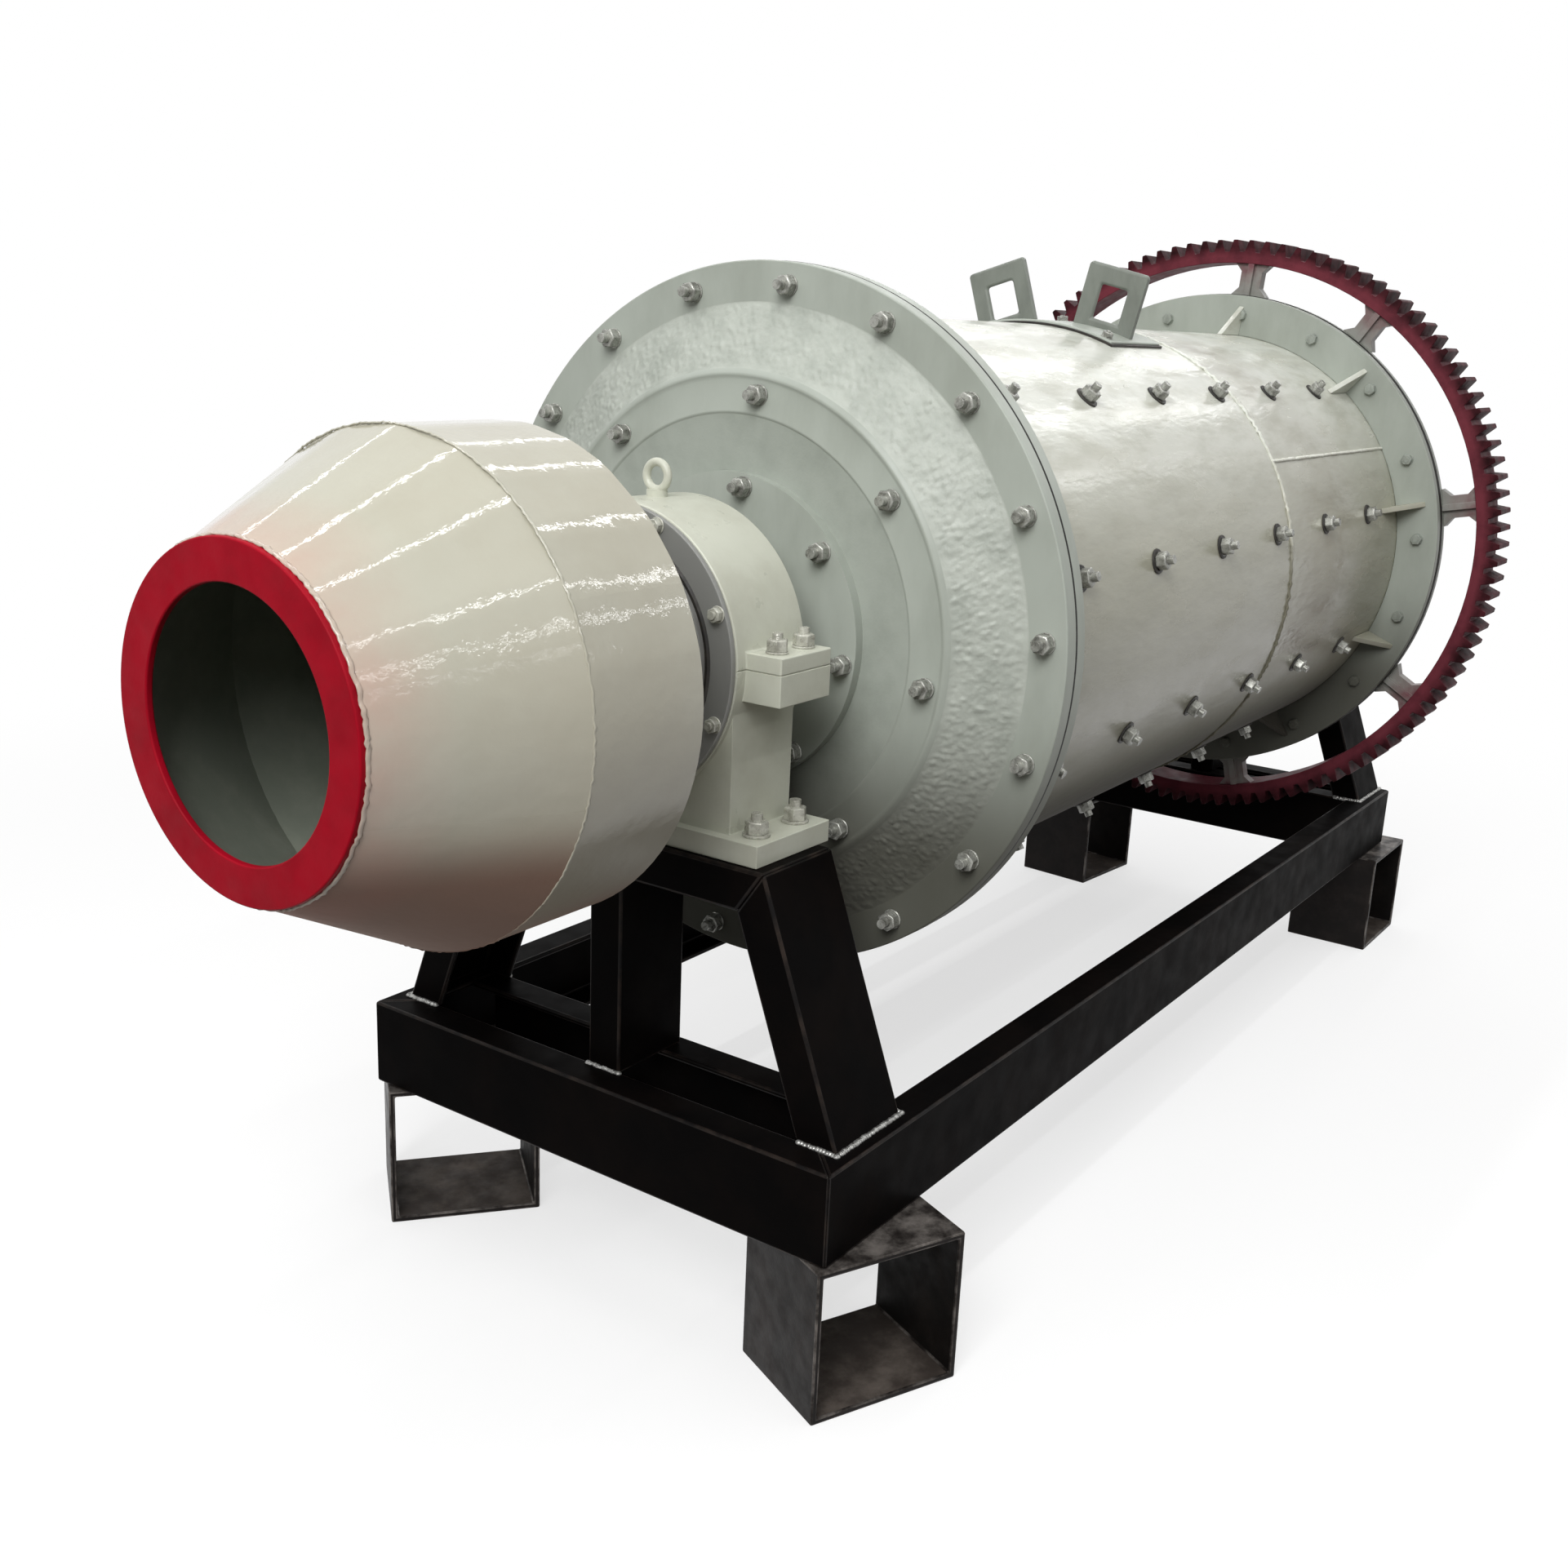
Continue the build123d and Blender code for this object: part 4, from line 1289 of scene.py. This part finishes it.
@dataclass
class Drum:
    """The shell between its flanges, with gussets, weld seams, liner bolts and the manhole."""

    flange_bolts: int = 18
    flange_phase: float = 4.6
    front_bolt_inset: float = 33.0
    rear_bolt_inset: float = 44.0
    cover_flange: float = 28.0
    hub_ring: float = 28.0
    liner_rows: int = 10
    liner_phase: float = 13.0
    liner_bolts: int = 6
    liner_start: float = 195.5
    liner_pitch: float = 283.0
    seam_station: float = 1115.0
    seam_angle: float = 30.0
    seam_size: float = 4.5
    seam_pitch: float = 6.0
    wall: float = 12.0
    flange_fit: float = 0.2
    hub_joint_width: float = 14.0
    hub_joint_proud: float = 1.5
    handle_corner: float = 7.5
    handle_foot: float = 8.0
    gasket_lap: float = 5.0
    gasket_lap_angle: float = 0.6
    gasket_height: float = 4.5
    crown_room: float = 20.0
    lid_bolt_reach: float = 94.0
    lid_bolts: tuple[tuple[int, float], ...] = ((-1, -19.5), (-1, 19.5), (1, -3.0), (1, 3.0))
    painted_share: float = 0.56
    edge: float = 2.5
    gusset_edge: float = 2.0
    lid_edge: float = 3.0
    gasket_edge: float = 1.5
    handle_edge: float = 2.0
    bed: float = 1.0
    seam_height: float = 0.8
    bolt_seed: int = 41
    lid_seed: int = 43
    hoop_seed: int = 61
    long_seed: int = 62

    def build(self) -> None:
        """Dress the shell and everything fastened to it."""
        finish_piece(from_node("shell"), "shell_rolled", Body.DRUM, SHELL_ENAMEL, ["shell"])
        for node, room in (
            ("shell_flange_front", self.flange_fit),
            ("shell_flange_rear", self.flange_fit),
            ("gear_hub_ring", -self.wall),
        ):
            low, high = span_mm(node)
            bore, radius = radius_mm("shell") + room, radius_mm(node)
            ring = turned([(low.x, bore), (high.x, bore), (high.x, radius), (low.x, radius)], RING_STEPS)
            round_edges(ring, self.edge, 2)
            smooth(ring)
            finish_piece(ring, f"{node}_turned", Body.DRUM, SAGE_ENAMEL, [node])
        rim = radius_mm("shell_flange_rear") + self.hub_joint_proud
        line = joint_line(span_mm("shell_flange_rear")[1].x, rim, self.hub_joint_width)
        finish_piece(line, "hub_ring_joint", Body.DRUM, JOINT_BLACK)
        gussets = from_node("shell_gussets", self.gusset_edge)
        finish_piece(gussets, "shell_gussets_welded", Body.DRUM, SHELL_ENAMEL, ["shell_gussets"])
        self.manhole()
        self.trunnions()
        self.bolts()
        self.seams()

    def manhole(self) -> None:
        """Dress the lid and its handles, lay the gasket under it and set its bolts."""
        lid = from_node("manhole_lid", self.lid_edge, 3)
        finish_piece(lid, "manhole_lid_enamelled", Body.DRUM, SAGE_ENAMEL, ["manhole_lid"])
        for node in ("manhole_handle_left", "manhole_handle_right"):
            self.handle(node)
        low, high = span_mm("manhole_lid")
        middle, half = (low.x + high.x) / 2, (high.x - low.x) / 2 + self.gasket_lap
        crown = high.z - AXIS_HEIGHT
        spread = math.degrees(math.asin(high.y / crown)) + self.gasket_lap_angle
        gasket = start("grid", x_subdivisions=2, y_subdivisions=24, size=2.0)
        for vertex in gasket.data.vertices:
            station = middle + half * vertex.co.x
            vertex.co = about_axis(station, radius_mm("shell") - self.bed, 90 + spread * vertex.co.y) * MM
        modify(gasket, "SOLIDIFY", thickness=(self.gasket_height + self.bed) * MM, offset=1.0)
        round_edges(gasket, self.gasket_edge, 2, 60.0)
        smooth(gasket)
        finish_piece(gasket, "manhole_gasket", Body.DRUM, SEAL_RUBBER)
        draw = random.Random(self.lid_seed)
        places = [
            upright(about_axis(middle + side * self.lid_bolt_reach, crown - self.bed / 2, 90 + angle),
                    outward(90 + angle), draw.uniform(0, HEX_TURN))
            for side, angle in self.lid_bolts
        ]
        finish_piece(repeat(LID_NUT.build(), places), "manhole_lid_bolts", Body.DRUM, BOLT_STEEL)

    def handle(self, node: str) -> None:
        """Cut a plate handle's corners round, break its edges and paint it.

        Args:
            node: the CAD node's name.
        """
        handle = from_node(node)
        unpick(handle)
        points = handle.data.vertices
        rises = [from_axis(point.co) for point in points]
        foot = min(rises) + self.handle_foot
        for edge in handle.data.edges:
            first, last = edge.vertices
            across = abs((points[last].co - points[first].co).normalized().x) > 0.99
            edge.select = across and min(rises[first], rises[last]) > foot
        with editing(handle, everything=False):
            bpy.ops.mesh.select_mode(type="EDGE")
            bpy.ops.mesh.bevel(offset=self.handle_corner * MM, segments=4, affect="EDGES", clamp_overlap=True)
            bpy.ops.mesh.select_mode(type="VERT")
        round_edges(handle, self.handle_edge, 2, 50.0)
        smooth(handle)
        finish_piece(handle, f"{node}_enamelled", Body.DRUM, SHADED_HANDLE_ENAMEL, [node])

    def trunnions(self) -> None:
        """Dress the two trunnions: turned steel at the journals, enamel on their flanges."""
        for node in ("feed_trunnion", "discharge_trunnion"):
            piece = from_node(node)
            bare = radius_mm(node) * self.painted_share
            paint(piece, (JOURNAL_STEEL, SAGE_ENAMEL), lambda face: from_axis(face.center) > bare)
            finish_piece(piece, f"{node}_turned", Body.DRUM, JOURNAL_STEEL, [node])

    def bolts(self) -> None:
        """Set the flange bolts, and the liner bolts with their seals."""
        draw = random.Random(self.bolt_seed)
        front, rear = span_mm("shell_flange_front"), span_mm("shell_flange_rear")
        near = radius_mm("shell_flange_front") - self.front_bolt_inset
        far = radius_mm("shell_flange_rear") - self.rear_bolt_inset
        back = rear[1].x + self.hub_ring + self.cover_flange
        for name, station, way, radius, bolt, finish in (
            ("front_flange_nuts", front[0].x - self.cover_flange, -1, near, COVER_NUT, BOLT_STEEL),
            ("front_flange_heads", front[1].x, 1, near, FLANGE_HEAD, BOLT_STEEL),
            ("rear_flange_heads", rear[0].x, -1, far, PAINTED_HEAD, HEAD_ENAMEL),
            ("rear_flange_nuts", back, 1, far, COVER_NUT, BOLT_STEEL),
        ):
            places = bolt_ring(station, radius, self.flange_bolts, self.flange_phase, way, draw)
            finish_piece(repeat(bolt.build(), places), name, Body.DRUM, finish)
        start_x = span_mm("shell")[0].x - self.cover_flange + self.liner_start
        foot = radius_mm("shell") - self.bed
        angles = [self.liner_phase + 360 / self.liner_rows * row for row in range(self.liner_rows)]
        places = [
            upright(about_axis(start_x + self.liner_pitch * k, foot, angle), outward(angle),
                    draw.uniform(0, HEX_TURN))
            for angle in angles if abs(angle - 90) >= self.crown_room
            for k in range(self.liner_bolts)
        ]
        finish_piece(repeat(LINER_NUT.build(), places), "shell_liner_bolts", Body.DRUM, BOLT_STEEL)
        finish_piece(repeat(LINER_SEAL.build(), places), "shell_liner_seals", Body.DRUM, SEAL_RUBBER)

    def seams(self) -> None:
        """Raise the painted weld seams of the rolled shell."""
        shell = radius_mm("shell")
        station = span_mm("shell")[0].x - self.cover_flange + self.seam_station
        hoop = ring_bead(station, shell, self.seam_size, self.seam_pitch, self.hoop_seed)
        finish_piece(hoop, "shell_hoop_seam", Body.DRUM, SEAM_ENAMEL)
        end = span_mm("shell_flange_rear")[0].x
        run = (about_axis(station, shell, self.seam_angle), about_axis(end, shell, self.seam_angle))
        weld = WeldBead(2 * self.seam_size, self.seam_height * self.seam_size, self.seam_pitch)
        bead = weld.build([run], random.Random(self.long_seed))
        finish_piece(bead, "shell_long_seam", Body.DRUM, SEAM_ENAMEL)


@dataclass
class Feeder:
    """The drum feeder: bent-plate barrel and cone, back plate and red mouth ring."""

    wall: float = 6.0
    bend: float = 42.0
    ring_width: float = 50.0
    swell: float = 1.004
    cone_creases: tuple[float, ...] = (23.5, 33.0, 53.0, 70.0, 88.0, 105.0, 122.0, 138.0)
    barrel_creases: tuple[float, ...] = (17.0, 25.0, 31.0, 44.0, 60.0, 70.5, 84.0, 98.0, 112.0, 126.0, 140.0)
    rolled_step: float = 4.0
    barrel_seam: float = 2.1
    mouth_seam: float = 3.5
    seam_pitch: float = 5.0
    ring_edge: float = 2.5
    back_edge: float = 2.0
    least_bend: float = 5.0
    barrel_seed: int = 51
    mouth_seed: int = 52

    def creases(self, seen: tuple[float, ...]) -> list[float]:
        """The angles of a plate's edges: the press-brake creases over its top, then a smoothly rolled rest.

        Args:
            seen: the angles of the creases, in degrees.

        Returns:
            All the angles in order.
        """
        rest = seen[0] + 360.0 - seen[-1]
        count = round(rest / self.rolled_step)
        return [*seen, *[seen[-1] + rest * k / count for k in range(1, count)]]

    def sheet(
        self, angles: Sequence[float], begin: tuple[float, float], end: tuple[float, float]
    ) -> bpy.types.Object:
        """A bent plate between two rings.

        Args:
            angles: the crease angles in degrees.
            begin: the first ring's station and radius.
            end: the last ring's station and radius.

        Returns:
            The plate with its wall's thickness.
        """
        plate = start("circle", vertices=len(angles), radius=1.0, fill_type="NOTHING")
        for vertex, angle in zip(plate.data.vertices, angles):
            vertex.co = about_axis(begin[0], begin[1] * self.swell, angle) * MM
        share = end[1] / begin[1]
        length = (end[0] - begin[0]) * MM
        with editing(plate):
            bpy.ops.mesh.extrude_edges_move(TRANSFORM_OT_translate={"value": (length, 0, 0)})
            bpy.ops.transform.resize(
                value=(1, share, share), center_override=(end[0] * MM, 0, AXIS_HEIGHT * MM))
            bpy.ops.mesh.select_all(action="SELECT")
            bpy.ops.mesh.normals_make_consistent(inside=False)
        if looks_in(plate.data.polygons[0]):
            with editing(plate):
                bpy.ops.mesh.flip_normals()
        modify(plate, "BEVEL", width=self.bend * MM, segments=4, limit_method="ANGLE",
               angle_limit=math.radians(self.least_bend), offset_type="WIDTH")
        modify(plate, "SOLIDIFY", thickness=self.wall * MM, offset=-1.0, use_even_offset=True)
        smooth(plate, 30.0)
        return plate

    def build(self) -> None:
        """Bend the plates, turn the rings and lay the seams, with dark primer inside that also stands as
        painted shade.
        """
        low, high = span_mm("feeder_barrel")
        radius = radius_mm("feeder_barrel")
        mouth_low, mouth_high = span_mm("feeder_mouth_ring")
        mouth = radius_mm("feeder_mouth_ring")
        for part, creases, end, enamel in (
            ("barrel", self.barrel_creases, (high.x, radius), FEEDER_ENAMEL),
            ("cone", self.cone_creases, (mouth_high.x, mouth), CONE_ENAMEL),
        ):
            plate = self.sheet(self.creases(creases), (low.x, radius), end)
            paint(plate, (enamel, INNER_PRIMER_AND_SHADE), looks_in)
            finish_piece(plate, f"feeder_{part}_bent", Body.DRUM, enamel, [f"feeder_{part}"])
        hole = mouth - self.ring_width
        outline = [(mouth_low.x, hole), (mouth_low.x, mouth), (mouth_high.x, mouth), (mouth_high.x, hole)]
        ring = turned(outline)
        round_edges(ring, self.ring_edge, 3)
        smooth(ring)
        finish_piece(ring, "feeder_mouth_ring_painted", Body.DRUM, RED_PAINT, ["feeder_mouth_ring"])
        back = from_node("feeder_back", self.back_edge)
        paint(back, (INNER_PRIMER_AND_SHADE, WARM_ENAMEL), lambda face: face.normal.x > 0.5)
        finish_piece(back, "feeder_back_painted", Body.DRUM, INNER_PRIMER_AND_SHADE, ["feeder_back"])
        for name, station, at, size, seed in (
            ("barrel", low.x, radius, self.barrel_seam, self.barrel_seed),
            ("mouth", mouth_high.x, mouth, self.mouth_seam, self.mouth_seed),
        ):
            bead = ring_bead(station, at, size, self.seam_pitch, seed)
            finish_piece(bead, f"feeder_{name}_seam", Body.DRUM, FEEDER_ENAMEL)


@dataclass
class GirthGear:
    """The girth gear: a toothed maroon rim on grey spokes."""

    tooth_edge: float = 1.2
    spoke_edge: float = 4.0

    def build(self) -> None:
        """Break the gear's edges and paint it."""
        for node, edge, segments, finish in (
            ("gear_rim", self.tooth_edge, 1, GEAR_PAINT),
            ("gear_spokes", self.spoke_edge, 3, SPOKE_ENAMEL),
        ):
            finish_piece(from_node(node, edge, segments), f"{node}_painted", Body.DRUM, finish, [node])


# Camera, floor and light


@dataclass
class PhotoCamera:
    """The photograph's camera, fitted to the drum's circles and the stand's upright edges."""

    place: tuple[float, float, float] = (-2684.1, -1491.5, 1461.8)
    azimuth: float = -55.131
    pitch: float = 15.552
    roll: float = 2.443
    focal_pixels: float = 2007.86
    image_width: float = 1921.0
    sensor: float = 36.0
    farthest: float = 200000.0

    def build(self) -> None:
        """Make the camera and look through it."""
        data = bpy.data.cameras.new("photo_camera")
        data.sensor_fit = "HORIZONTAL"
        data.sensor_width = self.sensor
        data.lens = self.focal_pixels / self.image_width * self.sensor
        data.clip_end = self.farthest * MM
        camera = bpy.data.objects.new("photo_camera", data)
        azimuth, pitch, roll = (math.radians(a) for a in (self.azimuth, self.pitch, self.roll))
        level = Vector((-math.sin(azimuth), math.cos(azimuth), 0.0))
        forward = level * math.cos(pitch) - Vector((0.0, 0.0, math.sin(pitch)))
        right = Vector((math.cos(azimuth), math.sin(azimuth), 0.0))
        up = right.cross(forward)
        across = right * math.cos(roll) + up * math.sin(roll)
        above = up * math.cos(roll) - right * math.sin(roll)
        turn = Matrix((across, above, -forward)).transposed().to_4x4()
        camera.matrix_world = Matrix.Translation(Vector(self.place) * MM) @ turn
        bpy.context.scene.collection.objects.link(camera)
        bpy.context.scene.camera = camera


@dataclass
class Studio:
    """A plain white floor under long soft ceiling lamps."""

    floor_size: float = 60000.0
    floor_fade: tuple[float, float] = (1800.0, 4200.0)
    floor_glow: float = 0.66
    lamp_height: float = 4300.0
    lamp_size: tuple[float, float] = (14000.0, 130.0)
    lamp_middle: float = 1500.0
    lamp_rows: tuple[float, ...] = (-9500.0, -5460.0, -2780.0, -750.0, 1100.0, 3500.0)
    lamp_power: float = 72.0
    front_place: tuple[float, float, float] = (-4800.0, -1600.0, 4200.0)
    front_target: tuple[float, float, float] = (-600.0, 0.0, 1000.0)
    front_size: tuple[float, float] = (2600.0, 2600.0)
    front_power: float = 225.0
    horizon: float = 0.10
    zenith: float = 0.38
    white: str = "#ffffff"
    bounce: str = "#4a4038"

    def build(self) -> None:
        """Lay the floor, hang the lamps and set the sky."""
        bpy.context.scene.view_settings.view_transform = "Standard"
        self.floor()
        down = Vector((0, 0, -1))
        for row, side in enumerate(self.lamp_rows):
            place = Vector((self.lamp_middle, side, self.lamp_height))
            self.lamp(f"ceiling_lamp_{row}", place, down, self.lamp_size, self.lamp_power)
        place = Vector(self.front_place)
        self.lamp("front_lamp", place, Vector(self.front_target) - place, self.front_size, self.front_power)
        self.sky()

    def lamp(self, name: str, place: Vector, way: Vector, size: tuple[float, float], power: float) -> None:
        """Hang a rectangular soft lamp.

        Args:
            name: the lamp's name.
            place: its middle, in millimetres.
            way: the direction in which it shines.
            size: its length along X and its width, in millimetres.
            power: its power in watts.
        """
        data = bpy.data.lights.new(name, "AREA")
        data.shape = "RECTANGLE"
        data.size, data.size_y = size[0] * MM, size[1] * MM
        data.energy = power
        lamp = bpy.data.objects.new(name, data)
        turn = (-way).to_track_quat("Z", "Y").to_matrix().to_4x4()
        lamp.matrix_world = Matrix.Translation(place * MM) @ turn
        bpy.context.scene.collection.objects.link(lamp)

    def floor(self) -> None:
        """A white floor that keeps the object's shadow, fades away and throws little light back up."""
        floor = start("plane", size=self.floor_size * MM)
        floor.name = "floor"
        surface = bpy.data.materials.new("white_floor")
        surface.use_nodes = True
        tree = surface.node_tree
        tree.nodes.clear()
        seen = self.seen(tree)
        where = add_node(tree, "TexCoord", {}).outputs["Object"]
        away = add_node(tree, "VectorMath", {0: where}, operation="LENGTH")
        near, far = (reach * MM for reach in self.floor_fade)
        fade = add_node(tree, "MapRange", {
            "Value": away.outputs["Value"], "From Min": near, "From Max": far, "To Min": self.floor_glow},
            interpolation_type="SMOOTHSTEP")
        white = add_node(tree, "BsdfDiffuse", {"Color": to_linear(self.white)})
        glow = add_node(tree, "Emission", {"Color": to_linear(self.white), "Strength": 1.0})
        shown = add_node(tree, "MixShader", {0: fade.outputs[0], 1: white.outputs[0], 2: glow.outputs[0]})
        dull = add_node(tree, "BsdfDiffuse", {"Color": to_linear(self.bounce)})
        mix = add_node(tree, "MixShader", {0: seen, 1: dull.outputs[0], 2: shown.outputs[0]})
        add_node(tree, "OutputMaterial", {"Surface": mix.outputs[0]})
        floor.data.materials.append(surface)

    def seen(self, tree: bpy.types.NodeTree) -> bpy.types.NodeSocket:
        """Whether a ray comes from the camera, a mirror or glass.

        Args:
            tree: the node tree that asks.

        Returns:
            The socket, 1 for such a ray.
        """
        path = add_node(tree, "LightPath", {})
        first = add_node(tree, "Math", {
            0: path.outputs["Is Camera Ray"], 1: path.outputs["Is Glossy Ray"]}, operation="MAXIMUM")
        both = add_node(tree, "Math", {
            0: first.outputs[0], 1: path.outputs["Is Transmission Ray"]}, operation="MAXIMUM")
        return both.outputs[0]

    def sky(self) -> None:
        """A white backdrop that lights the object only softly."""
        world = bpy.data.worlds.new("studio")
        bpy.context.scene.world = world
        world.use_nodes = True
        tree = world.node_tree
        tree.nodes.clear()
        way = add_node(tree, "SeparateXYZ", {"Vector": add_node(tree, "TexCoord", {}).outputs["Generated"]})
        soft = add_node(tree, "MapRange", {
            "Value": way.outputs["Z"], "To Min": self.horizon, "To Max": self.zenith}).outputs[0]
        level = add_node(tree, "MapRange", {"Value": self.seen(tree), "To Min": soft, "To Max": 1.0})
        sky = add_node(tree, "Background", {"Color": to_linear(self.white), "Strength": level.outputs[0]})
        add_node(tree, "OutputWorld", {"Surface": sky.outputs[0]})


def main() -> None:
    """Build the camera, the studio and the mill, piece by piece."""
    logging.basicConfig(level=logging.INFO, format="%(name)s %(message)s")
    PhotoCamera().build()
    Studio().build()
    Stand().build()
    for end in End:
        PillowBlock(end).build()
        EndCover(end).build()
    Drum().build()
    Feeder().build()
    GirthGear().build()


if __name__ == "__main__":
    main()
